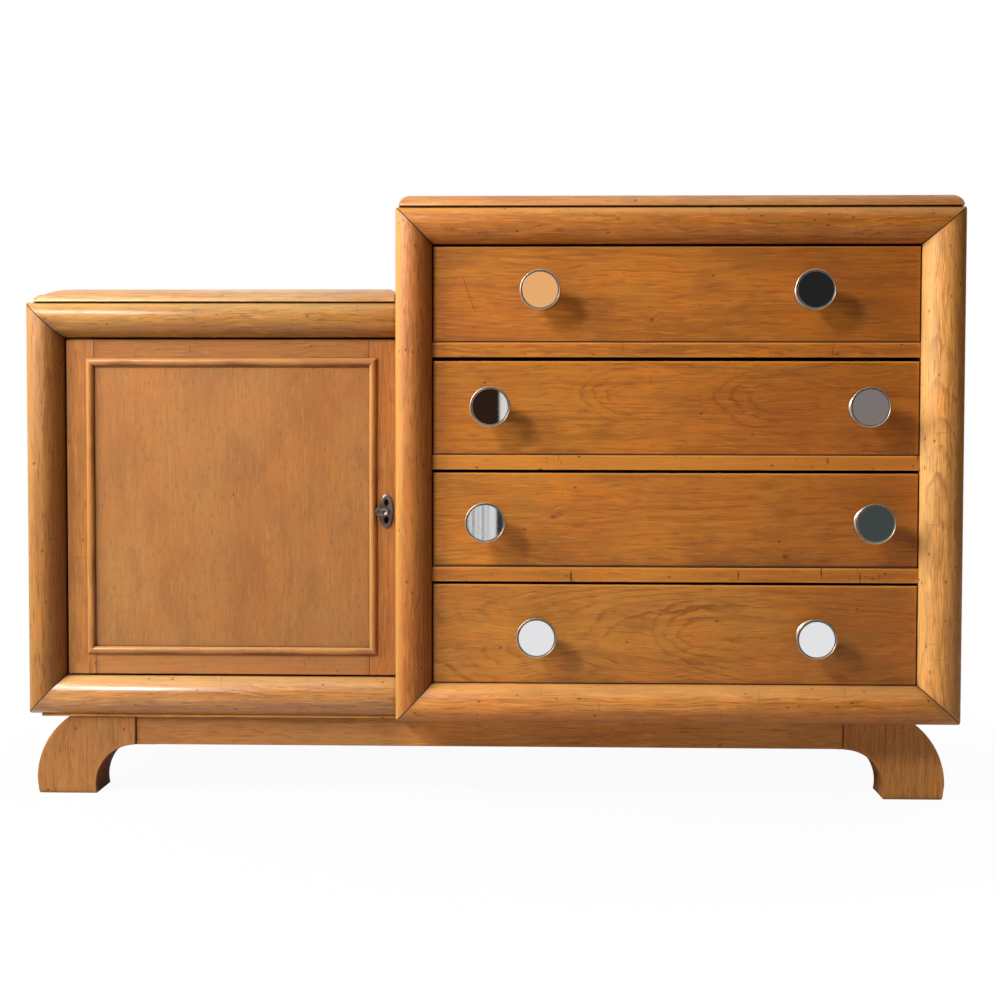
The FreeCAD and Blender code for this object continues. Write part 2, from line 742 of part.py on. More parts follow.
def knob(x, z):
    """A turned metal knob: a coned base with its neck, and a flared head with a sunk flat face."""
    head_back = "knob_projection - knob_head_thickness"
    base_profile = [
        ("0", "0"),
        ("0", "knob_base_diameter / 2"),
        ("-knob_base_thickness", "knob_neck_diameter / 2"),
        (f"-({head_back})", "knob_neck_diameter / 2"),
        (f"-({head_back})", "0"),
    ]
    face = "-(knob_projection - knob_face_drop)"
    head_profile = [
        (f"-({head_back})", "0"),
        (f"-({head_back})", "knob_head_back_diameter / 2"),
        ("-knob_projection", "knob_head_diameter / 2"),
        (face, "knob_head_diameter / 2 - knob_rim_width"),
        (face, "0"),
    ]
    turned = []
    for profile in (base_profile, head_profile):
        body = doc.addObject("PartDesign::Body", "Turning")
        section = sketch_on(body, "YZ_Plane")
        outline(section, profile)
        revolve(body, section)
        turned.append(place(body, x, "chest_face", z))
    return turned


def drawers():
    """Three drawers in openings of one height over a deeper one, with knobs set on an oval."""
    for number, word in enumerate(("one", "two", "three", "four"), start=1):
        drawer(number, word)


def door():
    """The cupboard's framed door, with a bead round its flat panel and pivots at its left edge."""
    left_inner = "door_left + stile_width"
    right_inner = "door_right - stile_width"
    left_stile = block(("door_left", "cupboard_face", "door_bottom"),
                       (left_inner, "door_back", "door_top"))
    right_stile = block((right_inner, "cupboard_face", "door_bottom"),
                        ("door_right", "door_back", "door_top"))
    bores = []
    sockets = []
    for low in ("door_bottom", "door_top - socket_length"):
        bores.append(rod("socket_radius", "socket_length", "pivot_x", "pivot_y", low))
        outer = rod("socket_radius - pivot_clearance", "socket_length", "pivot_x", "pivot_y", low)
        inner = rod("pivot_pin_radius + pivot_clearance", "socket_length", "pivot_x", "pivot_y", low)
        sockets.append(without(outer, [inner]))
    spindle_hole = rod("spindle_radius + spindle_clearance", "door_thickness",
                       "lock_x", "cupboard_face", "lock_z", ACROSS, -90)
    subpart(group([without(left_stile, bores), without(right_stile, [spindle_hole])]), "door_stiles")
    subpart(group([
        block((left_inner, "cupboard_face", "door_bottom"),
              (right_inner, "door_back", "door_bottom + door_rail_width")),
        block((left_inner, "cupboard_face", "door_top - door_rail_width"),
              (right_inner, "door_back", "door_top")),
    ]), "door_rails")
    subpart(block((left_inner, "cupboard_face + panel_recess", "door_bottom + door_rail_width"),
                  (right_inner, "cupboard_face + panel_recess + panel_thickness",
                   "door_top - door_rail_width")), "door_panel")
    bead_run = "bead_right - bead_left"
    bead_rise = "bead_top - bead_bottom"
    beads = []
    for length, turn, x, z in ((bead_run, 0, "bead_left", "bead_bottom"),
                               (bead_rise, -90, "bead_right", "bead_bottom"),
                               (bead_run, 180, "bead_right", "bead_top"),
                               (bead_rise, 90, "bead_left", "bead_top")):
        strip = half_round("bead_width", "bead_projection", None, length, "bead_width", "bead_width")
        beads.append(place(strip, x, "cupboard_face", z, INWARD, turn))
    subpart(group(beads), "door_bead")
    subpart(group(sockets), "hinge_sockets")


def pivots():
    """Hinge plates fixed to the frame above and below the door, each with its pin."""
    plates = []
    plate_left = "door_left"
    plate_front = "pivot_y - pivot_plate_lead"
    frame_floor = "door_bottom - door_gap"
    frame_ceiling = "door_top + door_gap"
    for low, pin_low in ((frame_floor, frame_floor),
                         (f"{frame_ceiling} - pivot_plate_thickness",
                          f"{frame_ceiling} - pivot_plate_thickness - pivot_pin_length")):
        plate = block((plate_left, plate_front, low),
                      (f"{plate_left} + pivot_plate_length", f"{plate_front} + pivot_plate_width",
                       f"{low} + pivot_plate_thickness"))
        pin = rod("pivot_pin_radius", "pivot_pin_length + pivot_plate_thickness",
                  "pivot_x", "pivot_y", pin_low)
        plates.append(joined([plate, pin]))
    subpart(group(plates), "hinge_pivots")


def almond(width, height, z, bevel=None):
    """An upright pointed oval on the door's face, where two round bars cross.

    With a bevel, its edge slopes in by that much from the door to the front.
    """
    radius = f"({height} ^ 2 + {width} ^ 2) / (4 * {width})"
    thickness = "escutcheon_thickness"
    bars = []
    for shift in (f"{radius} - {width} / 2", f"{width} / 2 - {radius}"):
        centre = (f"lock_x + {shift}", "cupboard_face", z, ACROSS, 90)
        if bevel:
            bar = doc.addObject("Part::Cone", "Bar")
            bind(bar, Radius1=radius, Radius2=f"{radius} - {bevel}", Height=thickness)
            bars.append(place(bar, *centre))
        else:
            bars.append(rod(radius, thickness, *centre))
    oval = doc.addObject("Part::MultiCommon", "Almond")
    oval.Shapes = bars
    return oval


def lock():
    """Turn lever on a pierced plate, whose crank drives a bolt into the partition."""
    plate = almond("escutcheon_width", "escutcheon_height", "lock_z", "escutcheon_bevel")
    piercings = [almond("piercing_width", "piercing_height", f"lock_z {side} piercing_offset")
                 for side in "+-"]
    spindle_hole = rod("spindle_radius + spindle_clearance", "escutcheon_thickness",
                       "lock_x", "cupboard_face", "lock_z", ACROSS, 90)
    subpart(without(plate, piercings + [spindle_hole]), "escutcheon")

    case = block(("lock_case_left", "door_back", "lock_z - lock_case_half_height"),
                 ("lock_case_right", "lock_case_back", "lock_z + lock_case_half_height"))
    hollow = block(("lock_case_left + lock_case_wall", "door_back",
                    "lock_z - lock_case_half_height + lock_case_wall"),
                   ("lock_case_right - lock_case_wall", "lock_case_back - lock_case_wall",
                    "lock_z + lock_case_half_height - lock_case_wall"))
    subpart(without(case, [hollow, bolt_passage("lock_x", "lock_case_right")]), "lock_case")

    bar = block(("bolt_tail", "bolt_front", "lock_z - bolt_half_height"),
                ("bolt_tip", "bolt_back", "lock_z + bolt_half_height"))
    slot = block(("lock_x - crank_throw - slot_half_width", "bolt_front",
                  "lock_z + crank_throw - slot_half_width"),
                 ("lock_x - crank_throw + slot_half_width", "bolt_back",
                  "lock_z + crank_throw * 2 ^ 0.5 + slot_half_width"))
    subpart(without(bar, [slot]), "lock_bolt")

    lever_front = "cupboard_face - lever_standoff - lever_thickness"
    half_width = "lever_width / 2"
    right_centre = "lock_x + lever_tail - lever_width / 2"
    left_centre = "lock_x + lever_tail - lever_length + lever_width / 2"
    spindle_length = "lever_standoff + door_thickness + lock_case_wall + crank_thickness"
    crank = block(("lock_x - crank_throw - crank_width / 2", "crank_front", "lock_z - crank_width / 2"),
                  ("lock_x + crank_width / 2", "crank_front + crank_thickness",
                   "lock_z + crank_throw + crank_width / 2"))
    pin_length = "crank_thickness + bolt_play + bolt_thickness"
    subpart(joined([
        block((left_centre, lever_front, f"lock_z - {half_width}"),
              (right_centre, f"{lever_front} + lever_thickness", f"lock_z + {half_width}")),
        rod(half_width, "lever_thickness", left_centre, lever_front, "lock_z", ACROSS, -90),
        rod(half_width, "lever_thickness", right_centre, lever_front, "lock_z", ACROSS, -90),
        rod("spindle_radius", spindle_length, "lock_x", "cupboard_face - lever_standoff", "lock_z",
            ACROSS, -90),
        crank,
        rod("crank_pin_radius", pin_length, "lock_x - crank_throw", "crank_front",
            "lock_z + crank_throw", ACROSS, -90),
    ]), "turn_lever")


def check_and_write():
    """Stop on any failed object or bad shape, then write one file for each piece."""
    doc.recompute()
    failed = [thing.Name for thing in doc.Objects
              if "Invalid" in thing.State or "Error" in thing.State]
    if failed:
        raise RuntimeError(f"failed objects: {failed}")
    for piece in subparts:
        if piece.Shape.isNull() or not piece.Shape.isValid():
            raise RuntimeError(f"bad shape: {piece.Label}")
    os.makedirs("parts", exist_ok=True)
    for piece in subparts:
        piece.Shape.exportStep(f"parts/{piece.Label}.step")


front_frames()
carcass()
tops()
base()
drawer_carriers()
drawers()
door()
pivots()
lock()
check_and_write()
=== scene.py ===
import math

import bmesh
import bpy
from bpy.props import FloatProperty, FloatVectorProperty, PointerProperty
from bpy.types import Operator, Panel, PropertyGroup
from mathutils import Matrix, Vector


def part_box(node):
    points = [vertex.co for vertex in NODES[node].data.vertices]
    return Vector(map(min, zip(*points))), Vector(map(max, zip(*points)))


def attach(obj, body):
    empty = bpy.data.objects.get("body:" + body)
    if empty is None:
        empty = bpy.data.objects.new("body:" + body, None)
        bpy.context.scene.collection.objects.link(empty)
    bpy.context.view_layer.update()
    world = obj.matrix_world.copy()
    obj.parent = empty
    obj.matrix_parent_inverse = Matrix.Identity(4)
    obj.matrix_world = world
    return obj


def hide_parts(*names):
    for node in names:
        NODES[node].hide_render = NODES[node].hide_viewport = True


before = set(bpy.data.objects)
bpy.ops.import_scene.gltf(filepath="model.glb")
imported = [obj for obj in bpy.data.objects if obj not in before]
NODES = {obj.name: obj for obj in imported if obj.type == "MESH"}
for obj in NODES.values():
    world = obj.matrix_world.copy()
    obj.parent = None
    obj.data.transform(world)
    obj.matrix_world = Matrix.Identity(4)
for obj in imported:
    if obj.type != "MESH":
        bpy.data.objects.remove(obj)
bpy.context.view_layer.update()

bl_info = {
    "name": "Stepped commode",
    "version": (1, 0, 0),
    "blender": (4, 5, 0),
    "location": "3D View > Sidebar > Commode",
    "description": "Finishes the stepped commode: waxed wood, turned knobs, lock and stage",
    "category": "Object",
}

QUARTER = math.radians(90)

# What settings of one kind have in common
COLOUR = {"subtype": "COLOR", "min": 0, "max": 1}
LENGTH = {"subtype": "DISTANCE", "unit": "LENGTH"}
POWER = {"subtype": "POWER", "unit": "POWER", "min": 0, "max": 1000}

# Waves a metre along and across the grain, and the detail, of every noise in the finishes
NOISE = {
    "drift": (2.6, 7.0, 2.0), "ripple": (11.0, 46.0, 2.0), "jitter": (60.0, 190.0, 2.0),
    "patch": (8.0, 34.0, 2.0), "bend": (10.0, 16.0, 2.0), "fibre": (15.0, 480.0, 3.0),
    "streak": (5.0, 120.0, 3.0), "blotch": (4.5, 9.0, 3.0), "mottle": (15.0, 30.0, 2.0),
    "lights": (30.0, 440.0, 1.0), "nick": (210.0, 26.0, 1.0), "wave": (5.0, 26.0, 1.0),
    "dry_fibre": (12.0, 380.0, 3.0), "dry_streak": (2.4, 80.0, 3.0), "stain": (2.0, 5.0, 4.0),
    "smudge": (90.0, 90.0, 3.0), "spots": (420.0, 420.0, 2.0), "hairline": (60.0, 2400.0, 1.0),
}
PORES_ACROSS = 520.0
FLECKS_A_METRE = (60.0, 110.0)
# How each mark scales the red, green and blue of the wood that it lies on. The arris highlight and the
# shade and sheen of a board's two sides are painted light.
SHADES = {
    "sapwood": (1.16, 1.24, 1.34), "heartwood": (1.00, 0.86, 0.70), "dull": (0.84, 0.85, 0.86),
    "amber": (1.22, 1.10, 0.92), "streak": (0.74, 0.68, 0.58), "pale_streak": (1.30, 1.36, 1.48),
    "late_wood": (0.52, 0.40, 0.27), "light": (1.38, 1.48, 1.62), "fibre": (0.65, 0.54, 0.43),
    "pore": (0.45, 0.32, 0.20), "paled": (1.40, 1.55, 1.90), "painted_arris_highlight": (1.50, 1.70, 2.10),
    "painted_side_shade": (0.46, 0.28, 0.08), "painted_side_sheen": (1.36, 1.94, 3.10), "knot": (0.24, 0.24, 0.24),
    "worn": (1.50, 1.60, 1.80),
}
# Height in metres by which each mark stands out of the wood
RELIEF = {"fibre": -0.00003, "pores": -0.00005, "late": -0.00002, "fleck": -0.0002, "nick": -0.0002}
# In sizes of a knot: how far it bends the rings, how much, and where its dark core fades out
KNOT_REACH = 3.2
KNOT_SWELL = 1.3
KNOT_CORE = (0.15, 0.80)
# Dark arcs from the middle of a board's eye to its edge
EYE_ARCS = 4.5
# In widths of a seam: where its dark line starts to fade and how far its stain reaches
SEAM_CORE = 0.35
SEAM_STAIN = 7

# Shares of the wood's arris to which edges are worn, and arrises over which the wax is rubbed pale
SHELTERED = 0.5
SLIGHT = 0.6
EVEN = 1.0
KNOCKED = 1.6
PALE_ARRISES = 7
# Corners of the solids that lie closer than this are one corner
JOIN_GAP = 0.00002

# A knob's outline from foot to face. Foot and stem: place in front of the drawer, and radius
KNOB_SIDES = 72
KNOB_FOOT = (0.0016, 0.022)
KNOB_STEM = ((0.0024, 0.0214), (0.0032, 0.0198), (0.0040, 0.0170), (0.0050, 0.0142), (0.0068, 0.0120),
             (0.0098, 0.0106), (0.0150, 0.0100), (0.0215, 0.0100), (0.0240, 0.0112), (0.0253, 0.0142))
# Head: place behind the rim's front, and radius
KNOB_HEAD = ((0.0120, 0.0180), (0.0112, 0.0200), (0.0098, 0.0211), (0.0060, 0.0231), (0.0030, 0.0247),
             (0.0016, 0.0255))
# Rim and face: place behind the rim's front, and inset from the knob's and from the face's radius
KNOB_RIM = ((0.0008, 0.0001), (0.0003, 0.0), (0.0, 0.0004), (0.0, 0.0011))
KNOB_LIP = (0.0004, -0.0002)
KNOB_GROOVE_WIDTH = 0.0006
KNOB_FACE = ((0.0006, 0.0008), (0.0005, 0.0011), (0.0005, 0.0014))

# Lock plate: its edge, the inset of its outline, its dish and bore, and the drops pierced in it
# with the leaves behind them, which are a painted shadow seen through the drops
PLATE_SIDES = 96
PLATE_EDGE = 0.001
PLATE_INSET = 0.0006
PLATE_DISH = 0.0007
PLATE_BORE = 0.0041
BORE_SIDES = 40
DROP_PLACE = 0.0118
DROP_SIZE = (0.0066, 0.0108)
DROP_BAR_SIDES = 160
SHADOW_LEAF_SIZE = (0.0080, 0.0124)
SHADOW_LEAF_THICK = 0.0004
# Turn lever: the head with its round ends, its rim and dish, and the two wedge-shaped hollows
LEVER_SIDES = 48
LEVER_LENGTH = 0.018
LEVER_THICK = 0.004
LEVER_END = 0.0055
LEVER_RIM = 0.0009
LEVER_SLOPE = 0.0006
LEVER_DISH = 0.0007
LEVER_LAP = 0.0002
WEDGE_RADIUS = 0.0034
WEDGE_DEPTH = 0.0024
WEDGE_ASIDE = 0.0032
WEDGE_DROP = 0.0006

# Turns that lay a board's own length along X, Y or Z of the piece
GRAIN_TURN = {"X": (0.0, 0.0, 0.0), "Y": (0.0, 0.0, QUARTER), "Z": (0.0, -QUARTER, 0.0)}
# Number of the first board of each group, which gives every board its own place in the log
FIRST_BOARD = {"frames": 1, "tops": 11, "drawers": 21, "rails": 26, "door": 31, "panel": 36,
               "base": 41, "case": 51, "inside": 61, "backs": 71}
# Steps by which one board's figure is shifted from the next one's
BOARD_SHIFT = (0.731, 0.317, 0.523)


def tone(red, green, blue):
    """A colour given in 0 to 255 as it looks on a screen, as Blender's linear values."""
    linear = []
    for part in (red, green, blue):
        share = part / 255
        linear.append(share / 12.92 if share <= 0.04045 else ((share + 0.055) / 1.055) ** 2.4)
    return tuple(linear)


def shaded(colour, factor):
    """A colour made darker or lighter, with the alpha that a colour socket needs."""
    return tuple(min(part * factor, 1.0) for part in colour[:3]) + (1.0,)


def toned(colour, scales):
    """A colour with its red, green and blue scaled apart."""
    return tuple(min(part * scale, 1.0) for part, scale in zip(colour, scales)) + (1.0,)


def middle(node):
    """The centre of a CAD node."""
    low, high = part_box(node)
    return (low + high) / 2


class WoodSettings(PropertyGroup):
    """Colours and finish of the wood."""

    moulding: FloatVectorProperty(
        name="Mouldings", description="Waxed colour of the half-round frames",
        default=tone(164, 102, 36), **COLOUR)
    top: FloatVectorProperty(
        name="Top boards", description="Waxed colour of the two top boards",
        default=tone(176, 122, 72), **COLOUR)
    drawer: FloatVectorProperty(
        name="Drawer fronts", description="Waxed colour of the drawer fronts and the rails between",
        default=tone(180, 107, 30), **COLOUR)
    door: FloatVectorProperty(
        name="Door frame", description="Waxed colour of the door's stiles, rails and bead",
        default=tone(160, 98, 42), **COLOUR)
    panel: FloatVectorProperty(
        name="Door panel", description="Waxed colour of the door's panel",
        default=tone(160, 102, 48), **COLOUR)
    base: FloatVectorProperty(
        name="Plinth and feet", description="Waxed colour of the base",
        default=tone(154, 100, 44), **COLOUR)
    case: FloatVectorProperty(
        name="Sides", description="Waxed colour of the sides",
        default=tone(172, 106, 42), **COLOUR)
    inner: FloatVectorProperty(
        name="Inside", description="Bare wood of the inside and the drawer boxes",
        default=tone(201, 163, 112), **COLOUR)
    back: FloatVectorProperty(
        name="Back boards", description="Dry aged wood of the backs",
        default=tone(168, 128, 82), **COLOUR)
    # Laid into flecks, nicks and joints, and into corners, where it is partly dust and partly painted
    # shade.
    dirt_and_shade: FloatVectorProperty(
        name="Old wax", description="Colour of the dark wax and dust in joints and pores",
        default=tone(52, 24, 8), **COLOUR)
    arris: FloatProperty(
        name="Arris", description="How far sharp edges are worn round",
        min=0.0001, max=0.004, default=0.0009, **LENGTH)
    # Also how far the painted shade in corners reaches.
    dirt_and_shade_reach: FloatProperty(
        name="Dirt reach", description="How far dirt spreads from a joint",
        min=0.001, max=0.05, default=0.010, **LENGTH)


class MetalSettings(PropertyGroup):
    """Colours of the metal and the turned shape of the knobs."""

    chrome: FloatVectorProperty(
        name="Knobs", description="Plated metal of the knobs",
        default=tone(226, 226, 228), **COLOUR)
    rim: FloatVectorProperty(
        name="Knob rims", description="Worn metal of the knobs' rims and sides",
        default=tone(172, 154, 136), **COLOUR)
    nickel: FloatVectorProperty(
        name="Lock plate", description="Aged nickel of the lock plate and lever",
        default=tone(134, 120, 110), **COLOUR)
    steel: FloatVectorProperty(
        name="Lock", description="Steel of the lock case, bolt and strike",
        default=tone(120, 118, 116), **COLOUR)
    # The pivots' brass is darker than brass, so that they look shaded in the door's gap: painted shade.
    brass: FloatVectorProperty(
        name="Hinges", description="Brass of the door's pivots",
        default=tone(112, 84, 44), **COLOUR)
    # The leaves behind the drops are a painted shadow.
    shadow: FloatVectorProperty(
        name="Lock drops", description="Black of the leaves behind the lock plate's drops",
        default=tone(26, 20, 16), **COLOUR)
    knob_rim: FloatProperty(
        name="Knob rim", description="Width of the rim round a knob's face",
        min=0.001, max=0.006, default=0.0018, **LENGTH)
    knob_groove: FloatProperty(
        name="Knob groove", description="Depth of the groove between a knob's rim and face",
        min=0.0002, max=0.003, default=0.0012, **LENGTH)


class StageSettings(PropertyGroup):
    """Camera, lamps and floor."""

    eye: FloatVectorProperty(
        name="Camera", description="Where the camera stands",
        subtype="TRANSLATION", unit="LENGTH", default=(0.0757, -2.3719, 0.4925))
    aim: FloatVectorProperty(
        name="Camera turn", description="Turn to the left, tilt down and roll of the camera",
        subtype="EULER", unit="ROTATION",
        default=(math.radians(1.64), math.radians(2.30), math.radians(0.11)))
    lens: FloatProperty(
        name="Lens", description="Focal length on a 36 mm sensor", min=20, max=200, default=59.94)
    window: FloatProperty(
        name="Window", description="Power of the large soft light at the left", default=48, **POWER)
    fill: FloatProperty(
        name="Fill", description="Power of the small light at the left of the camera", default=38, **POWER)
    ceiling: FloatProperty(
        name="Ceiling", description="Power of the soft light overhead", default=11, **POWER)
    rear: FloatProperty(
        name="Rear light", description="Power of the soft light behind the piece", default=60, **POWER)
    room: FloatProperty(
        name="Room", description="Strength of the even light of the room", min=0, max=2, default=0.07)
    floor: FloatVectorProperty(
        name="Floor", description="Colour of the floor", default=(0.66, 0.66, 0.66), **COLOUR)


class CommodeSettings(PropertyGroup):
    """All settings of the commode."""

    wood: PointerProperty(type=WoodSettings, name="Wood", description="Wood finishes")
    metal: PointerProperty(type=MetalSettings, name="Metal", description="Metal finishes")
    stage: PointerProperty(type=StageSettings, name="Stage", description="Camera and light")


def settings():
    """The commode's settings in the open scene."""
    return bpy.context.scene.commode


def choose_socket(sockets, key):
    """A node's socket by its place or its name, among those in use."""
    if isinstance(key, int):
        return sockets[key]
    for socket in sockets:
        if socket.enabled and key == socket.name:
            return socket
    raise KeyError(f"no socket named {key}")


class Level:
    """A value in a material's nodes. Arithmetic on it adds Math nodes."""

    def __init__(self, finish, socket):
        self.finish = finish
        self.socket = socket

    def worked(self, operation, first, second=0.0):
        """The result of a Math node."""
        return self.finish.add("ShaderNodeMath", {"operation": operation}, {0: first, 1: second})

    def __add__(self, other):
        return self.worked("ADD", self, other)

    def __radd__(self, other):
        return self.worked("ADD", other, self)

    def __sub__(self, other):
        return self.worked("SUBTRACT", self, other)

    def __rsub__(self, other):
        return self.worked("SUBTRACT", other, self)

    def __mul__(self, other):
        return self.worked("MULTIPLY", self, other)

    def __rmul__(self, other):
        return self.worked("MULTIPLY", other, self)

    def __truediv__(self, other):
        return self.worked("DIVIDE", self, other)

    def __pow__(self, other):
        return self.worked("POWER", self, other)

    def __abs__(self):
        return self.worked("ABSOLUTE", self)

    def __gt__(self, other):
        return self.worked("GREATER_THAN", self, other)

    def part(self):
        """What is left over the whole number below."""
        return self.worked("FRACT", self)

    def whole(self):
        """The whole number below."""
        return self.worked("FLOOR", self)

    def least(self, other):
        """The smaller of two."""
        return self.worked("MINIMUM", self, other)

    def most(self, other):
        """The larger of two."""
        return self.worked("MAXIMUM", self, other)

    def beside(self, name):
        """Another output of the same node."""
        return Level(self.finish, choose_socket(self.socket.node.outputs, name))

    def eased(self, start, end):
        """Runs softly from 0 at start to 1 at end. Start may be the higher of the two."""
        return self.finish.add("ShaderNodeMapRange", {"interpolation_type": "SMOOTHSTEP"},
                               {"Value": self, "From Min": start, "From Max": end})


class Finish:
    """A material, or the world, that is put together node by node."""

    def __init__(self, owner):
        self.owner = owner
        owner.use_nodes = True
        self.nodes = owner.node_tree.nodes
        self.links = owner.node_tree.links
        self.nodes.clear()

    def add(self, kind, options=None, sockets=None, output=0):
        """Adds a node with its settings and then its sockets' values or links."""
        node = self.nodes.new(kind)
        for key, option in (options or {}).items():
            setattr(node, key, option)
        for key, item in (sockets or {}).items():
            socket = choose_socket(node.inputs, key)
            if isinstance(item, Level):
                self.links.new(item.socket, socket)
            else:
                socket.default_value = item
        if not node.outputs:
            return None
        return Level(self, choose_socket(node.outputs, output))

    def mixed(self, under, over, share, blend="MIX"):
        """One colour laid over another by a share."""
        return self.add("ShaderNodeMix", {"data_type": "RGBA", "blend_type": blend},
                        {"Factor": share, "A": under, "B": over}, "Result")

    def stretched(self, place, along, across):
        """Coordinates squeezed along and across a board."""
        return self.add("ShaderNodeVectorMath", {"operation": "MULTIPLY"},
                        {0: place, 1: (along, across, across)})

    def cloud(self, place, along, across, detail):
        """Noise with so many waves a metre along and across a board."""
        return self.add("ShaderNodeTexNoise", None,
                        {"Vector": self.stretched(place, along, across), "Scale": 1.0,
                         "Detail": detail})

    def noise(self, place, name):
        """One of the noises that the finishes share."""
        return self.cloud(place, *NOISE[name])

    def shelter(self, distance, **options):
        """How open the surface is, from 0 in a tight corner to 1 in the open."""
        return self.add("ShaderNodeAmbientOcclusion", options, {"Distance": distance}, "AO")

    def relief(self, height):
        """A normal that is bent by a height in metres."""
        return self.add("ShaderNodeBump", None, {"Strength": 1.0, "Distance": 1.0, "Height": height})

    def object_place(self):
        """Coordinates of the piece itself."""
        return self.add("ShaderNodeTexCoord", output="Object")

    def surface(self, **sockets):
        """The shader itself and the material's output."""
        named = {key.replace("_", " "): item for key, item in sockets.items()}
        shader = self.add("ShaderNodeBsdfPrincipled", None, named)
        self.add("ShaderNodeOutputMaterial", None, {"Surface": shader})
        return self.owner


def new_finish(name):
    """An empty material to put together."""
    return Finish(bpy.data.materials.new(name))


def board_place(finish, grain, centre, number):
    """A board's own coordinates: along its grain, into it and across it."""
    return board_turn(finish, finish.object_place(), grain, centre, number)


def board_turn(finish, place, grain, centre, number):
    """Object coordinates turned to a board's grain, with a place of its own in the log."""
    turned = finish.add("ShaderNodeMapping", {"vector_type": "TEXTURE"},
                        {"Vector": place, "Location": centre, "Rotation": GRAIN_TURN[grain]})
    shift = tuple(step * number for step in BOARD_SHIFT)
    return turned, finish.add("ShaderNodeVectorMath", {"operation": "ADD"}, {0: turned, 1: shift})


def split(finish, vector):
    """The three parts of a vector."""
    parts = finish.add("ShaderNodeSeparateXYZ", None, {"Vector": vector})
    return [parts.beside(name) for name in "XYZ"]


def knot_marks(board, along, across):
    """How far each knot swells the rings round it, and the shade of the knots' cores."""
    swell, core = 0.0, 0.0
    for knot_along, knot_across, size, upright in board["knots"]:
        gap = (((along - knot_along) * upright) ** 2.0 + (across - knot_across) ** 2.0) ** 0.5
        swell = (1 - gap.eased(0.0, size * KNOT_REACH)) * (size * KNOT_SWELL) + swell
        core = (1 - gap.eased(size * KNOT_CORE[0], size * KNOT_CORE[1])).most(core)
    return swell, core


def eye_marks(board, along, across, wobble):
    """Broken dark arcs round the eyes of a figured board, open towards its right end."""
    arcs = 0.0
    for eye_along, eye_across, length, height in board["eyes"]:
        aside = (along - eye_along) / length
        gap = (aside ** 2.0 + ((across - eye_across) / height) ** 2.0) ** 0.5 + wobble
        phase = (gap * EYE_ARCS).part()
        arc = phase.eased(0.50, 0.84) * (1 - phase.eased(0.84, 1.0))
        shown = gap.eased(0.10, 0.30) * (1 - gap.eased(0.75, 1.25)) * (1 - aside.eased(-0.15, 0.55))
        arcs = (arc * shown).most(arcs)
    return arcs


def seam_marks(finish, seams):
    """Lines on the front, each with its two ends: dark joints where a piece meets its neighbours,
    scratches, painted shadow lines at the drawers' feet and painted arris highlights.
    """
    x, z = split(finish, finish.object_place())[::2]
    line, stain = 0.0, 0.0
    for (start_x, start_z), (end_x, end_z), width in seams:
        length = math.hypot(end_x - start_x, end_z - start_z)
        run, climb = (end_x - start_x) / length, (end_z - start_z) / length
        gap = abs((x - start_x) * climb - (z - start_z) * run)
        reach = (x - start_x) * run + (z - start_z) * climb
        within = (reach > 0.0) * (1 - (reach > length))
        line = (within - gap.eased(width * SEAM_CORE, width)).most(line)
        stain = (within - gap.eased(0.0, width * SEAM_STAIN)).most(stain)
    return line, stain


# What a waxed board is like unless it says otherwise: its figure in metres, its pores in waves a
# metre and how much it shows of each mark. Knots: place along and across, size and slimness.
# Eyes: place, length and height. Pale levels: foot, head and share. Ramps of tone and light: start
# and end along the board, and how they scale its colour; some of them are painted light. Arris
# highlights, which are painted, and seams: lines with two ends and a width. Side light: where the
# shaded side faces, how dark its painted shade is and how strong the painted sheen on the other side is.
PLAIN_BOARD = {
    "grain": "X", "turned": board_place, "heart": (0.16, 0.05), "lean": (0.05, 0.02), "drift": 0.030,
    "ripple": 0.0040, "jitter": 0.0016, "ring": 0.0065, "bend": 0.014, "pore_length": 40.0,
    "fleck_rarity": 0.96, "nicks": 0.0, "tint": (1.0, 1.0, 1.0), "shade": 1.0, "mottle": 0.7,
    "streaks": 0.6, "figure": 0.8, "lights": 0.60, "fibres": 0.75, "pores": 0.60, "wear": 0.55,
    "dirt_and_shade": 0.85, "gloss": 0.40, "wave": 0.0006, "wax": 0.10, "shine": 0.36, "knots": (), "eyes": (),
    "pale_levels": (), "tone_and_light_ramps": (), "painted_arris_lines": (), "painted_side_light": (), "seams": (),
}


def growth(finish, board, place, local):
    """The late wood where the board's face cuts the growth rings, and its knots' swell and cores."""
    along, inward, across = local
    drift, ripple, jitter = [finish.noise(place, name) - 0.5 for name in ("drift", "ripple", "jitter")]
    depth, side = board["heart"]
    lean, skew = board["lean"]
    from_heart = inward + along * lean + depth
    beside = across + along * skew - side
    swell, core = knot_marks(board, along, across)
    radius = ((from_heart ** 2.0 + beside ** 2.0) ** 0.5 + drift * board["drift"]
              + ripple * board["ripple"] + jitter * board["jitter"] + swell)
    rings = radius / board["ring"]
    phase = rings.part()
    year = finish.add("ShaderNodeTexWhiteNoise", {"noise_dimensions": "1D"}, {"W": rings.whole()})
    patch = finish.noise(place, "patch").eased(0.34, 0.66)
    late = phase.eased(0.62, 0.94) * (1 - phase.eased(0.94, 1.0)) * (0.2 + year * 0.8) * patch
    arcs = eye_marks(board, along, across, ripple * 0.35 + jitter * 0.15)
    return late.most(arcs * (0.4 + patch * 0.6)), swell, core


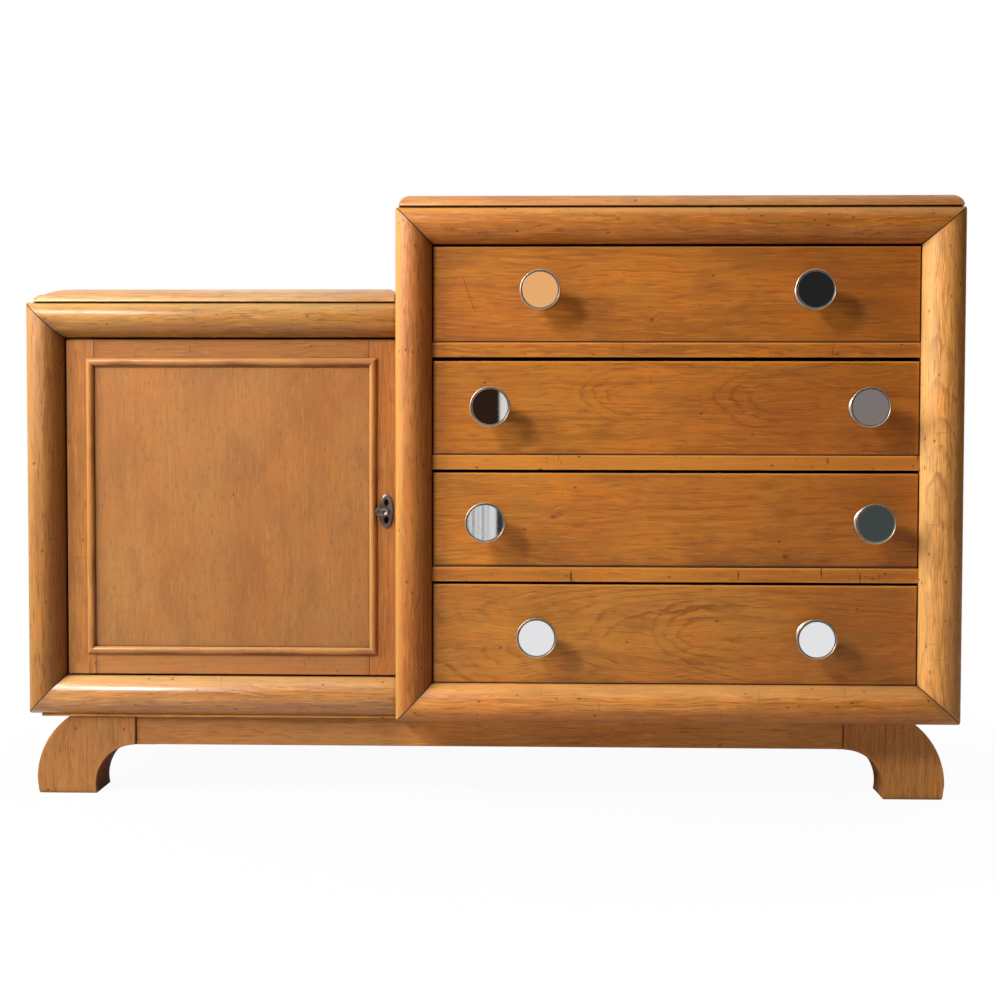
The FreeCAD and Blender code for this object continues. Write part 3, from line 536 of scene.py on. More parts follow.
def wood_marks(finish, board, place, local):
    """Every mark of a waxed board by its name, as levels from 0 to 1."""
    late, swell, core = growth(finish, board, place, local)
    bend = (finish.noise(place, "bend") - 0.5) * board["bend"] + swell
    aside = finish.add("ShaderNodeCombineXYZ", None, {"Z": bend})
    fibres = finish.add("ShaderNodeVectorMath", {"operation": "ADD"}, {0: place, 1: aside})
    cells = finish.add("ShaderNodeTexVoronoi", None,
                       {"Vector": finish.stretched(place, *FLECKS_A_METRE), "Scale": 1.0}, "Distance")
    chance = split(finish, cells.beside("Color"))[0]
    return {
        "late": late,
        "core": core,
        "fibre": finish.noise(fibres, "fibre"),
        "streak": finish.noise(fibres, "streak"),
        "blotch": finish.noise(place, "blotch"),
        "mottle": finish.noise(place, "mottle"),
        "pores": finish.cloud(fibres, board["pore_length"], PORES_ACROSS, 1.0).eased(0.58, 0.68),
        "lights": 1 - finish.noise(fibres, "lights").eased(0.32, 0.42),
        "fleck": (1 - cells.eased(0.05, 0.20)) * (chance > board["fleck_rarity"]),
        "nick": finish.noise(place, "nick").eased(0.72, 0.78) * board["nicks"],
    }


def wood_colour(finish, tint, board, marks, local):
    """A board's colour with its figure, before wear and dirt."""
    along, across = local[::2]
    mottle, streak = marks["mottle"], marks["streak"]

    def laid(under, shade, share):
        """One of the board's shades laid over a colour."""
        return finish.mixed(under, toned(tint, SHADES[shade]), share)

    body = laid(toned(tint, SHADES["sapwood"]), "heartwood", marks["blotch"].eased(0.32, 0.68))
    layers = [
        ("dull", mottle.eased(0.50, 0.70) * board["mottle"]),
        ("amber", (1 - mottle.eased(0.32, 0.48)) * board["mottle"]),
        ("streak", streak.eased(0.46, 0.72) * board["streaks"]),
        ("pale_streak", (1 - streak.eased(0.28, 0.44)) * board["streaks"] * 0.7),
        ("late_wood", marks["late"] * board["figure"]),
        ("light", marks["lights"] * board["lights"]),
        ("fibre", marks["fibre"].eased(0.50, 0.70) * board["fibres"]),
        ("pore", marks["pores"] * board["pores"]),
    ]
    for shade, share in layers:
        body = laid(body, shade, share)
    level = board["centre"].z
    for low, high, paled in board["pale_levels"]:
        inside = (across > low - level) * (1 - (across > high - level))
        body = laid(body, "paled", inside * (0.35 + mottle * 0.5) * paled)
    # Ramps along the board: some change its tone, others are painted light that falls off along it or lifts
    # a cast shadow.
    for start, end, scales in board["tone_and_light_ramps"]:
        body = finish.mixed(body, scales + (1.0,), along.eased(start, end), "MULTIPLY")
    # Painted highlights along the arrises that catch the light.
    if board["painted_arris_lines"]:
        line = seam_marks(finish, board["painted_arris_lines"])[0]
        body = laid(body, "painted_arris_highlight", line * (0.2 + mottle * 0.9))
    # Painted shade on the side that faces away from the light and painted sheen on the side that faces it,
    # set by the surface's direction.
    if board["painted_side_light"]:
        shade_side, amount, sheen_share = board["painted_side_light"]
        normal = finish.add("ShaderNodeTexCoord", output="Normal")
        facing = finish.add("ShaderNodeVectorMath", {"operation": "DOT_PRODUCT"},
                            {0: normal, 1: shade_side}, "Value")
        body = laid(body, "painted_side_shade", facing.eased(-0.15, 0.75) * amount)
        lit = (facing * -1).eased(0.30, 0.95) * (1 - (facing * -1).eased(0.985, 0.998))
        body = laid(body, "painted_side_sheen", lit * sheen_share)
    if board["knots"]:
        body = laid(body, "knot", marks["core"] * 0.8)
    return body


def waxed_wood(name, colour, own, number):
    """Old waxed wood: growth rings cut by the board's face, fibres, pores, flecks and wear, darker corners
    that are partly dust and partly painted shade, and painted highlights and side light.

    The board gives the grain's direction, the heart of the log behind its face and how much of
    each mark the wood shows. Pairs of numbers are the levels between which a mark sets in.
    """
    wood = settings().wood
    board = PLAIN_BOARD | own
    finish = new_finish(name)
    turned, place = board["turned"](finish, board["grain"], board["centre"], number)
    local = split(finish, turned)
    marks = wood_marks(finish, board, place, local)
    mottle, blotch = marks["mottle"], marks["blotch"]
    tint = shaded([part * scale for part, scale in zip(colour, board["tint"])], board["shade"])
    body = wood_colour(finish, tint, board, marks, local)

    edge = finish.shelter(wood.arris * PALE_ARRISES, samples=4, inside=True, only_local=True)
    worn = (1 - edge.eased(0.40, 0.92)) * mottle.eased(0.30, 0.60)
    body = finish.mixed(body, toned(tint, SHADES["worn"]), worn * board["wear"])
    dark_wax_and_shade = shaded(wood.dirt_and_shade, 1.0)
    body = finish.mixed(body, dark_wax_and_shade, marks["fleck"].most(marks["nick"]) * 0.8)
    # Darker in joints and corners, where shade falls: partly dust and old wax, partly painted shade.
    corner = 1 - finish.shelter(wood.dirt_and_shade_reach, samples=6).eased(0.30, 0.86)
    dirt_and_shade_share = corner * (0.55 + blotch * 0.7) * board["dirt_and_shade"]
    # Seams add dark joint lines and stains, and at the drawers' feet a painted shadow line with its spread.
    if board["seams"]:
        line, stain = seam_marks(finish, board["seams"])
        dirt_and_shade_share = dirt_and_shade_share.most(line * (0.7 + mottle * 0.5)).most(stain * mottle.eased(0.35, 0.65) * 0.35)
    body = finish.mixed(body, dark_wax_and_shade, dirt_and_shade_share.least(0.94))

    roughness = (board["gloss"] + (blotch - 0.5) * 0.20 + marks["fibre"] * 0.08
                 + marks["pores"] * 0.15 + corner * 0.25)
    height = finish.noise(place, "wave") * board["wave"]
    for mark, rise in RELIEF.items():
        height = height + marks[mark] * rise
    return finish.surface(Base_Color=body, Roughness=roughness, Normal=finish.relief(height),
                          Coat_Weight=board["wax"], Coat_Roughness=0.24,
                          Specular_IOR_Level=board["shine"])


def bare_wood(name, colour, board, number):
    """Unpolished wood: pale, dry and matt, with fine straight fibres."""
    finish = new_finish(name)
    place = board_place(finish, board["grain"], board["centre"], number)[1]
    fibre, streak, stain = [finish.noise(place, kind) for kind in ("dry_fibre", "dry_streak", "stain")]
    body = finish.mixed(shaded(colour, 1.10), shaded(colour, 0.72), streak.eased(0.40, 0.70))
    body = finish.mixed(body, shaded(colour, 0.62), stain.eased(0.52, 0.80) * 0.6)
    body = finish.mixed(body, shaded(colour, 0.60), fibre.eased(0.56, 0.76) * 0.45)
    # Darker in its corners: partly dust, partly painted shade.
    corner = 1 - finish.shelter(0.03, samples=4).eased(0.20, 0.95)
    body = finish.mixed(body, shaded(settings().wood.dirt_and_shade, 1.0), corner * 0.55)
    return finish.surface(Base_Color=body, Roughness=0.68 + stain * 0.20,
                          Normal=finish.relief(fibre * 0.00008))


def worn_metal(name, colour, polish, smudge, tarnish):
    """Plated or polished metal with smudges, hairlines and dark tarnish in its corners."""
    finish = new_finish(name)
    place = finish.object_place()
    cloud, spots, hairline = [finish.noise(place, kind) for kind in ("smudge", "spots", "hairline")]
    corner = 1 - finish.shelter(0.003, samples=6).eased(0.25, 0.90)
    body = finish.mixed(shaded(colour, 1.0), shaded(colour, 0.78), cloud.eased(0.45, 0.75) * tarnish)
    body = finish.mixed(body, shaded(colour, 0.45), spots.eased(0.60, 0.80) * tarnish)
    body = finish.mixed(body, shaded(settings().wood.dirt_and_shade, 1.0), corner * 0.8)
    roughness = polish + cloud.eased(0.35, 0.80) * smudge + spots * smudge * 0.4 + corner * 0.3
    height = hairline * 0.0000012 + cloud * 0.00001 * tarnish
    return finish.surface(Base_Color=body, Metallic=1.0 - corner * 0.7, Roughness=roughness,
                          Normal=finish.relief(height))


def put_on(node, material):
    """Gives a CAD node its finish."""
    for slot in NODES[node].material_slots:
        slot.material = material


def cover(piece, *materials):
    """Gives a new piece its finishes in place of any that it had."""
    piece.data.materials.clear()
    for material in materials:
        piece.data.materials.append(material)


def soften(node, share):
    """Rounds a CAD node's sharp edges as years of handling do."""
    piece = NODES[node]
    weld = piece.modifiers.new("Joined corners", "WELD")
    weld.merge_threshold = JOIN_GAP
    flat = piece.modifiers.new("Whole faces", "DECIMATE")
    flat.decimate_type = "DISSOLVE"
    flat.angle_limit = math.radians(0.5)
    arris = piece.modifiers.new("Worn arris", "BEVEL")
    arris.width = settings().wood.arris * share
    arris.segments = 3
    arris.limit_method = "ANGLE"
    arris.angle_limit = math.radians(32)
    arris.use_clamp_overlap = False
    arris.harden_normals = True


def dress_waxed(node, colour, board, number, word="waxed"):
    """Gives a CAD node the waxed finish of its own board."""
    put_on(node, waxed_wood(f"{word}_{node}", colour, {"centre": middle(node)} | board, number))


def dress_bare(node, grain, number, share):
    """Leaves a CAD node of the inside in bare wood with worn edges."""
    board = {"grain": grain, "centre": middle(node)}
    put_on(node, bare_wood(f"bare_{node}", settings().wood.inner, board, number))
    soften(node, share)


def set_mode(mode):
    """Goes into edit mode or back to object mode."""
    bpy.ops.object.mode_set(mode=mode)


def clear_selection():
    """Leaves edit mode and deselects every object."""
    if bpy.context.object and bpy.context.object.mode != "OBJECT":
        set_mode("OBJECT")
    bpy.ops.object.select_all(action="DESELECT")


def only(piece):
    """Makes one piece the selected and active one."""
    clear_selection()
    piece.select_set(True)
    bpy.context.view_layer.objects.active = piece


def settle():
    """Puts the active piece's place, turn and size into its mesh."""
    bpy.ops.object.transform_apply(location=True, rotation=True, scale=True)


def pick_front_faces():
    """In edit mode, selects the faces of the open piece that look to the front."""
    piece = bpy.context.object
    mesh = bmesh.from_edit_mesh(piece.data)
    bpy.ops.mesh.select_all(action="DESELECT")
    bpy.ops.mesh.select_mode(type="FACE")
    found = 0
    for face in mesh.faces:
        chosen = face.normal.y < -0.9
        face.select_set(chosen)
        found += chosen
    bmesh.update_edit_mesh(piece.data)
    if not found:
        raise RuntimeError(f"{piece.name}: no face was found to work on")


def drawn_out(step, scale, centre):
    """In edit mode, draws the selected faces to the front by a step and resizes them there."""
    bpy.ops.mesh.extrude_region_move(TRANSFORM_OT_translate={"value": (0, -step, 0)})
    bpy.ops.transform.resize(value=(scale[0], 1, scale[1]), center_override=centre)


def rod(radius, length, centre, sides, name):
    """A round blank that lies front to back, with its place in its mesh."""
    clear_selection()
    bpy.ops.mesh.primitive_cylinder_add(
        vertices=sides, radius=radius, depth=length, location=centre, rotation=(QUARTER, 0, 0))
    piece = bpy.context.object
    piece.name = name
    settle()
    return piece


def cut(piece, tool, operation):
    """Cuts or trims a piece with a tool, which is then thrown away."""
    only(piece)
    step = piece.modifiers.new("Cut", "BOOLEAN")
    step.operation = operation
    step.solver = "EXACT"
    step.object = tool
    bpy.ops.object.modifier_apply(modifier=step.name)
    only(tool)
    bpy.ops.object.delete()
    only(piece)


def turned_knob():
    """One knob, turned on the lathe about its own axis with its foot at the origin."""
    metal = settings().metal
    low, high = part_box("drawer_1_knobs")
    reach = high.y - low.y
    radius = (high.z - low.z) / 2
    face = radius - metal.knob_rim
    groove = metal.knob_groove
    dished = (KNOB_LIP, (groove, 0.0), (groove, KNOB_GROOVE_WIDTH)) + KNOB_FACE
    profile = list(KNOB_STEM)
    profile += [(reach - behind, size) for behind, size in KNOB_HEAD]
    profile += [(reach - behind, radius - inset) for behind, inset in KNOB_RIM]
    profile += [(reach - behind, face - inset) for behind, inset in dished]
    here, wide = KNOB_FOOT
    piece = rod(wide, here, (0, -here / 2, 0), KNOB_SIDES, "knob")
    set_mode("EDIT")
    pick_front_faces()
    for front, size in profile:
        scale = size / wide
        drawn_out(front - here, (scale, scale), (0, -front, 0))
        here, wide = front, size
    bpy.ops.mesh.select_all(action="SELECT")
    bpy.ops.mesh.normals_make_consistent(inside=False)
    set_mode("OBJECT")
    bpy.ops.object.shade_smooth_by_angle(angle=math.radians(38))
    return piece


def almond(width, height, centre, thickness, name):
    """A pointed oval where two large round bars cross."""
    bar = (height ** 2 + width ** 2) / (4 * width)
    shift = Vector((bar - width / 2, 0, 0))
    left = rod(bar, thickness, centre + shift, DROP_BAR_SIDES, name)
    right = rod(bar, thickness, centre - shift, DROP_BAR_SIDES, "trimming_bar")
    cut(left, right, "INTERSECT")
    return left


def mitres(node):
    """The mitre lines of a frame's length, from its outer corners to its inner ones."""
    front, place = node.split("_moulding_")
    width = 0.0013
    lines = []
    for side in ("left", "right"):
        for level in ("top", "bottom"):
            post, bar = f"{front}_moulding_{side}", f"{front}_moulding_{level}"
            if place in (side, level) and post in NODES:
                outer_x, inner_x = [corner.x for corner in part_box(post)][::1 if side == "left" else -1]
                inner_z, outer_z = [corner.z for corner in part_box(bar)][::1 if level == "top" else -1]
                lines.append(((outer_x, outer_z), (inner_x, inner_z), width))
    return lines


class COMMODE_OT_frames(Operator):
    """Finish the half-round frames round the drawers and the door"""
    bl_idname = "commode.frames"
    bl_label = "Frames"

    def execute(self, context):
        # Each length scales the one moulding colour by its shade and tint, partly to how light falls on it,
        # which is painted light: the right post is made much paler and bluer as a painted sheen, and the
        # cupboard's top and bottom bluer for the painted sheen of their highlights.
        lengths = {
            "chest_moulding_left": {"grain": "Z", "shade": 1.12, "tint": (1.0, 0.94, 0.95), "figure": 0.4,
                                    "streaks": 0.5, "nicks": 0.1, "painted_side_light": ((1, 0, 0), 0.42, 0.95)},
            "chest_moulding_right": {"grain": "Z", "shade": 2.00, "tint": (0.96, 1.20, 2.1), "drift": 0.09,
                                     "lean": (0.22, 0.05), "ring": 0.012, "figure": 1.0,
                                     "ripple": 0.012, "jitter": 0.003, "fleck_rarity": 0.60,
                                     "painted_side_light": ((1, 0, 0), 0.55, 0.30)},
            "chest_moulding_top": {"grain": "X", "shade": 1.28, "tint": (1.0, 0.98, 0.95),
                                   "painted_side_light": ((0, 0, -1), 0.20, 0.70)},
            "chest_moulding_bottom": {"grain": "X", "shade": 1.50, "tint": (1.0, 1.06, 1.5)},
            "cupboard_moulding_left": {"grain": "Z", "shade": 0.84, "tint": (1.0, 1.12, 1.3), "figure": 0.5,
                                       "streaks": 0.6, "nicks": 0.15},
            "cupboard_moulding_top": {"grain": "X", "shade": 1.10, "tint": (1.0, 1.27, 2.0), "wax": 0.24},
            "cupboard_moulding_bottom": {"grain": "X", "shade": 1.30, "tint": (1.0, 1.22, 2.2),
                                         "wax": 0.80},
        }
        shared = {"heart": (0.11, 0.02), "lean": (0.02, 0.01), "ring": 0.0075, "figure": 0.70,
                  "fleck_rarity": 0.72, "nicks": 0.25, "wave": 0.0010, "mottle": 1.0, "streaks": 0.8}
        # Uprights get a painted shade on their right sides and a painted sheen on their left; horizontals
        # get a painted shade underneath and a painted sheen on top.
        upright = {"painted_side_light": ((1, 0, 0), 0.62, 0.50), "gloss": 0.48, "wax": 0.0, "shine": 0.34}
        level = {"painted_side_light": ((0, 0, -1), 0.42, 0.50), "gloss": 0.36, "wax": 0.12, "shine": 0.28}
        for number, (node, own) in enumerate(lengths.items(), FIRST_BOARD["frames"]):
            board = shared | (upright if own["grain"] == "Z" else level) | own
            board["seams"] = mitres(node)
            dress_waxed(node, settings().wood.moulding, board, number)
            soften(node, SLIGHT)
        return {"FINISHED"}


class COMMODE_OT_tops(Operator):
    """Finish the two top boards"""
    bl_idname = "commode.tops"
    bl_label = "Tops"

    def execute(self, context):
        tints = {"chest_top": (1.08, 0.98, 0.72), "cupboard_top": (1.16, 1.38, 1.50)}
        shared = {"grain": "X", "heart": (0.02, 0.09), "ring": 0.008, "lean": (0.03, 0.01), "figure": 0.6,
                  "gloss": 0.38, "wax": 0.16, "dirt_and_shade": 0.7, "fibres": 0.45, "pores": 0.35, "streaks": 0.5}
        for number, (node, tint) in enumerate(tints.items(), FIRST_BOARD["tops"]):
            dress_waxed(node, settings().wood.top, shared | {"tint": tint}, number)
            soften(node, EVEN)
        return {"FINISHED"}


class COMMODE_OT_drawers(Operator):
    """Finish the drawer fronts, the rails between them and the drawer boxes"""
    bl_idname = "commode.drawers"
    bl_label = "Drawers"

    def execute(self, context):
        self.fronts()
        self.rails()
        self.boxes()
        return {"FINISHED"}

    def fronts(self):
        """Four fronts, each with its own figure, a painted shadow line at its foot, a painted highlight
        along its upper edge and painted light that falls off to the right.
        """
        fronts = {
            "drawer_1_front": {"heart": (0.10, 0.09), "lean": (0.015, 0.05), "ring": 0.0052,
                               "knots": ((-0.031, -0.033, 0.006, 1.5),),
                               "scratches": ((0.038, 0.038, 0.0545, 0.083),)},
            "drawer_2_front": {"heart": (0.12, 0.10), "lean": (0.02, 0.03), "ring": 0.0060,
                               "eyes": ((-0.062, 0.016, 0.070, 0.040), (0.130, 0.014, 0.090, 0.048))},
            "drawer_3_front": {"heart": (0.13, 0.10), "lean": (0.02, -0.04), "ring": 0.0056,
                               "knots": ((-0.159, 0.004, 0.005, 0.8), (0.145, -0.047, 0.006, 0.8)),
                               "tint": (1.0, 1.0, 1.08), "tone_and_light_ramps": [(-0.10, -0.20, (1.12, 1.24, 1.24))],
                               "foot_shadow_width": 0.0030},
            "drawer_4_front": {"heart": (0.045, -0.012), "lean": (-0.20, 0.05), "ring": 0.0080,
                               "drift": 0.100, "ripple": 0.010, "figure": 0.9, "bend": 0.030,
                               "eyes": ((0.040, 0.003, 0.080, 0.050),), "tint": (1.02, 1.14, 1.46)},
        }
        shared = {"grain": "X", "gloss": 0.40, "figure": 0.75, "fibres": 0.55, "pores": 0.40,
                  "lights": 0.50, "mottle": 0.9, "tone_and_light_ramps": [], "scratches": (), "foot_shadow_width": 0.0012}
        foot_rise, crown_fall = 0.0008, 0.0010
        scratch_line, crown_highlight_width = 0.0005, 0.0016
        for number, (node, own) in enumerate(fronts.items(), FIRST_BOARD["drawers"]):
            board = shared | own
            low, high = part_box(node)
            foot, crown = low.z + foot_rise, high.z - crown_fall
            board["seams"] = [((low.x, foot), (high.x, foot), board["foot_shadow_width"])]
            for start, fall, end, drop in board["scratches"]:
                upper, lower = (low.x + start, high.z - fall), (low.x + end, high.z - drop)
                board["seams"].append((upper, lower, scratch_line))
            board["painted_arris_lines"] = [((low.x, crown), (high.x, crown), crown_highlight_width)]
            # Painted light that falls off towards each front's right end.
            board["tone_and_light_ramps"] = [(-0.08, 0.32, (0.80, 0.73, 0.56))] + board["tone_and_light_ramps"]
            dress_waxed(node, settings().wood.drawer, board, number)
            soften(node, EVEN)

    def rails(self):
        """The rails between the drawers, with painted highlights along their edges under the fronts above
        them and painted light that falls off to the right.
        """
        fronts = [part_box(f"drawer_{number}_front") for number in range(1, 5)]
        second, third, fourth = fronts[1][0], fronts[2][1], fronts[3][1]
        gap, highlight_width = 0.0016, 0.0018
        levels = [front[0].z - gap for front in fronts[:3]]
        board = {"grain": "X", "shade": 1.05, "figure": 0.6, "tint": (1.0, 1.02, 1.1), "nicks": 0.9,
                 "fleck_rarity": 0.80, "streaks": 1.0, "mottle": 1.0, "wear": 0.9,
                 "pale_levels": [(third.z, second.z, 1.0), (fourth.z, third.z, 0.45)],
                 "tone_and_light_ramps": [(-0.08, 0.32, (0.84, 0.78, 0.64))],
                 "painted_arris_lines": [((second.x, level), (third.x, level), highlight_width) for level in levels]}
        dress_waxed("drawer_rails", settings().wood.drawer, board, FIRST_BOARD["rails"])
        soften("drawer_rails", EVEN)

    def boxes(self):
        """The bare boxes behind the fronts."""
        grains = {"sides": "Y", "back": "X", "bottom": "X"}
        for number in range(1, 5):
            for part, grain in grains.items():
                dress_bare(f"drawer_{number}_{part}", grain, number * len(grains), SHELTERED)


class COMMODE_OT_knobs(Operator):
    """Turn a knob and set two on each drawer"""
    bl_idname = "commode.knobs"
    bl_label = "Knobs"

    def execute(self, context):
        metal = settings().metal
        pattern = turned_knob()
        cover(pattern,
              worn_metal("plated_knob", metal.chrome, polish=0.004, smudge=0.010, tarnish=0.05),
              worn_metal("worn_rim", metal.rim, polish=0.30, smudge=0.15, tarnish=0.8))
        for face in pattern.data.polygons:
            face.material_index = int(len(face.vertices) == 4)
        for number in range(1, 5):
            node = f"drawer_{number}_knobs"
            low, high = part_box(node)
            radius = (high.z - low.z) / 2
            pair = []
            for x in (low.x + radius, high.x - radius):
                only(pattern)
                bpy.ops.object.duplicate(linked=False)
                bpy.ops.transform.translate(value=(x, high.y, (low.z + high.z) / 2))
                settle()
                pair.append(bpy.context.object)
            only(pair[0])
            pair[1].select_set(True)
            bpy.ops.object.join()
            knobs = bpy.context.object
            knobs.name = f"drawer_{number}_turned_knobs"
            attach(knobs, f"drawer_{number}")
            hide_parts(node)
        only(pattern)
        bpy.ops.object.delete()
        return {"FINISHED"}


def bead_grain(finish, grain, centre, number):
    """Grain along each length of the door's bead, which changes at the mitres."""
    low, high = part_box("door_bead")
    place = finish.object_place()
    x, z = split(finish, place)[::2]
    upright = (abs(x - centre.x) - (high.x - low.x) / 2) > (abs(z - centre.z) - (high.z - low.z) / 2)
    level = board_turn(finish, place, "X", centre, number)
    plumb = board_turn(finish, place, "Z", centre, number + 1)
    return [finish.add("ShaderNodeMix", {"data_type": "VECTOR"},
                       {"Factor": upright, "A": one, "B": other}, "Result")
            for one, other in zip(level, plumb)]


class COMMODE_OT_door(Operator):
    """Finish the door's frame, panel and bead, and its pivots"""
    bl_idname = "commode.door"
    bl_label = "Door"

    def execute(self, context):
        wood = settings().wood
        low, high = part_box("door_rails")
        joint_line = 0.0012
        frame_wood = {"figure": 0.5, "nicks": 0.3, "fibres": 0.4, "streaks": 0.45, "pores": 0.4}
        boards = {
            "door_stiles": frame_wood | {"grain": "Z", "heart": (0.14, 0.26), "tint": (1.06, 1.12, 1.05)},
            "door_rails": frame_wood | {
                "grain": "X", "heart": (0.14, 0.28), "tint": (0.93, 0.97, 0.98),
                # The bottom rail is paled and the top one, in the moulding's shade, is left darker: painted
                # light.
                "pale_levels": [(low.z, (low.z + high.z) / 2, 0.8)],
                "seams": [((x, low.z), (x, high.z), joint_line) for x in (low.x, high.x)]},
            # The bead has a painted shade on its right and lower sides and a painted sheen on its left and
            # upper sides.
            "door_bead": {"turned": bead_grain, "figure": 0.4, "gloss": 0.32, "wax": 0.32,
                          "tint": (1.05, 1.16, 1.15), "dirt_and_shade": 1.2, "painted_side_light": ((1.0, 0, -0.9), 0.92, 0.9)},
        }
        for number, (node, board) in enumerate(boards.items(), FIRST_BOARD["door"]):
            dress_waxed(node, wood.door, board, number)
        # The panel's corner darkening is strong, so that it is dark beside the bead: partly dust, partly
        # painted shade.
        panel = {"grain": "Z", "heart": (0.05, -0.03), "lean": (0.06, 0.03), "ring": 0.011, "drift": 0.06,
                 "figure": 0.15, "streaks": 0.1, "pores": 0.32, "pore_length": 80.0, "lights": 0.35,
                 "mottle": 0.65, "gloss": 0.42, "fibres": 0.30, "dirt_and_shade": 1.2, "fleck_rarity": 0.985,
                 "tint": (0.97, 1.02, 1.02), "tone_and_light_ramps": [(0.02, -0.20, (0.92, 0.93, 0.90))]}
        dress_waxed("door_panel", wood.panel, panel, FIRST_BOARD["panel"])
        for node in ("door_stiles", "door_rails", "door_panel"):
            soften(node, SLIGHT)
        # Brass darkened so that the pivots look shaded in the door's gap: painted shade.
        brass = worn_metal("old_brass", settings().metal.brass, polish=0.28, smudge=0.18, tarnish=0.6)
        for node in ("hinge_pivots", "hinge_sockets"):
            put_on(node, brass)
        return {"FINISHED"}


class COMMODE_OT_lock(Operator):
    """Model the lock plate and turn lever, and finish the lock behind them"""
    bl_idname = "commode.lock"
    bl_label = "Lock"

    def execute(self, context):
        metal = settings().metal
        nickel = worn_metal("aged_nickel", metal.nickel, polish=0.30, smudge=0.16, tarnish=0.6)
        steel = worn_metal("lock_steel", metal.steel, polish=0.36, smudge=0.20, tarnish=0.7)
        for node in ("lock_case", "lock_bolt", "strike_plate"):
            put_on(node, steel)
        self.plate(nickel)
        self.lever(nickel)
        return {"FINISHED"}

    def plate(self, nickel):
        """A bevelled oval plate with a raised rim and two pierced drops."""
        low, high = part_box("escutcheon")
        thick = high.y - low.y
        centre = (low + high) / 2
        edge = Vector((centre.x, high.y - PLATE_EDGE / 2, centre.z))
        piece = rod((high.z - low.z) / 2 - PLATE_INSET, PLATE_EDGE, edge, PLATE_SIDES, "lock_plate")
        set_mode("EDIT")
        bpy.ops.mesh.select_all(action="SELECT")
        bpy.ops.transform.resize(value=((high.x - low.x) / (high.z - low.z), 1, 1), center_override=edge)
        pick_front_faces()
        bevel = (thick, (0.86, 0.90))
        rim = (thick, (0.74, 0.82))
        dish = (thick - PLATE_DISH, (0.66, 0.76))
        here = PLATE_EDGE
        for rise, scale in (bevel, rim, dish):
            drawn_out(rise - here, scale, centre)
            here = rise
        set_mode("OBJECT")
        through = thick * 3
        for side in (1, -1):
            drop_centre = centre + Vector((0, 0, side * DROP_PLACE))
            cut(piece, almond(*DROP_SIZE, drop_centre, through, "drop_cutter"), "DIFFERENCE")
        cut(piece, rod(PLATE_BORE, through, centre, BORE_SIDES, "bore_cutter"), "DIFFERENCE")
        bpy.ops.object.shade_smooth_by_angle(angle=math.radians(25))
        cover(piece, nickel)
        self.painted_shadow_leaves(piece, high.y)
        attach(piece, "door")
        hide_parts("escutcheon")

    def painted_shadow_leaves(self, plate, back):
        """A dark leaf behind each of the plate's two drops, a painted shadow seen through them."""
        black = worn_metal("lock_shadow", settings().metal.shadow, polish=0.7, smudge=0.1, tarnish=0.3)
        leaves = []
        for side in (1, -1):
            leaf_centre = middle("escutcheon") + Vector((0, 0, side * DROP_PLACE))
            leaf_centre.y = back - SHADOW_LEAF_THICK / 2
            leaf = almond(*SHADOW_LEAF_SIZE, leaf_centre, SHADOW_LEAF_THICK, "lock_leaf")
            cover(leaf, black)
            leaves.append(leaf)
        only(plate)
        for leaf in leaves:
            leaf.select_set(True)
        bpy.ops.object.join()

    def lever(self, nickel):
        """A dished oval lever with two hollows, on the spindle and crank that the lock needs."""
        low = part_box("turn_lever")[0]
        back = low.y + LEVER_THICK
        axis = Vector((low.x + LEVER_LENGTH / 2, low.y, middle("escutcheon").z))
        head = self.lever_head(axis)
        for side in (1, -1):
            clear_selection()
            bpy.ops.mesh.primitive_cylinder_add(
                vertices=3, radius=WEDGE_RADIUS, depth=WEDGE_DEPTH,
                location=axis + Vector((side * WEDGE_ASIDE, WEDGE_DEPTH / 2, -side * WEDGE_DROP)),
                rotation=(QUARTER, QUARTER + side * QUARTER, 0))
            wedge = bpy.context.object
            settle()
            cut(head, wedge, "DIFFERENCE")
        only(NODES["turn_lever"])
        bpy.ops.object.duplicate(linked=False)
        stem = bpy.context.object
        stem.parent = None
        set_mode("EDIT")
        bpy.ops.mesh.select_all(action="SELECT")
        bpy.ops.mesh.remove_doubles(threshold=JOIN_GAP)
        bpy.ops.mesh.bisect(plane_co=(0, back - LEVER_LAP, 0), plane_no=(0, 1, 0), clear_inner=True,
                            use_fill=True)
        set_mode("OBJECT")
        only(head)
        stem.select_set(True)
        bpy.ops.object.join()
        piece = bpy.context.object
        piece.name = "lock_lever"
        bpy.ops.object.shade_smooth_by_angle(angle=math.radians(30))
        cover(piece, nickel)
        for face in piece.data.polygons:
            face.material_index = 0
        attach(piece, "turn_lever")
        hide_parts("turn_lever")

    def lever_head(self, axis):
        """The lever's head: a round blank drawn out to an oval, with a rim round its dished front."""
        reach = LEVER_LENGTH / 2 - LEVER_END
        blank = (axis.x + reach, axis.y + LEVER_THICK / 2, axis.z)
        head = rod(LEVER_END, LEVER_THICK, blank, LEVER_SIDES, "lever")
        set_mode("EDIT")
        mesh = bmesh.from_edit_mesh(head.data)
        bpy.ops.mesh.select_all(action="DESELECT")
        bpy.ops.mesh.select_mode(type="VERT")
        for vertex in mesh.verts:
            vertex.select_set(vertex.co.x < axis.x + reach - LEVER_LAP)
        bmesh.update_edit_mesh(head.data)
        bpy.ops.transform.translate(value=(-2 * reach, 0, 0))
        pick_front_faces()
        bpy.ops.mesh.inset(thickness=LEVER_RIM, depth=0)
        bpy.ops.mesh.inset(thickness=LEVER_SLOPE, depth=-LEVER_DISH)
        set_mode("OBJECT")
        return head


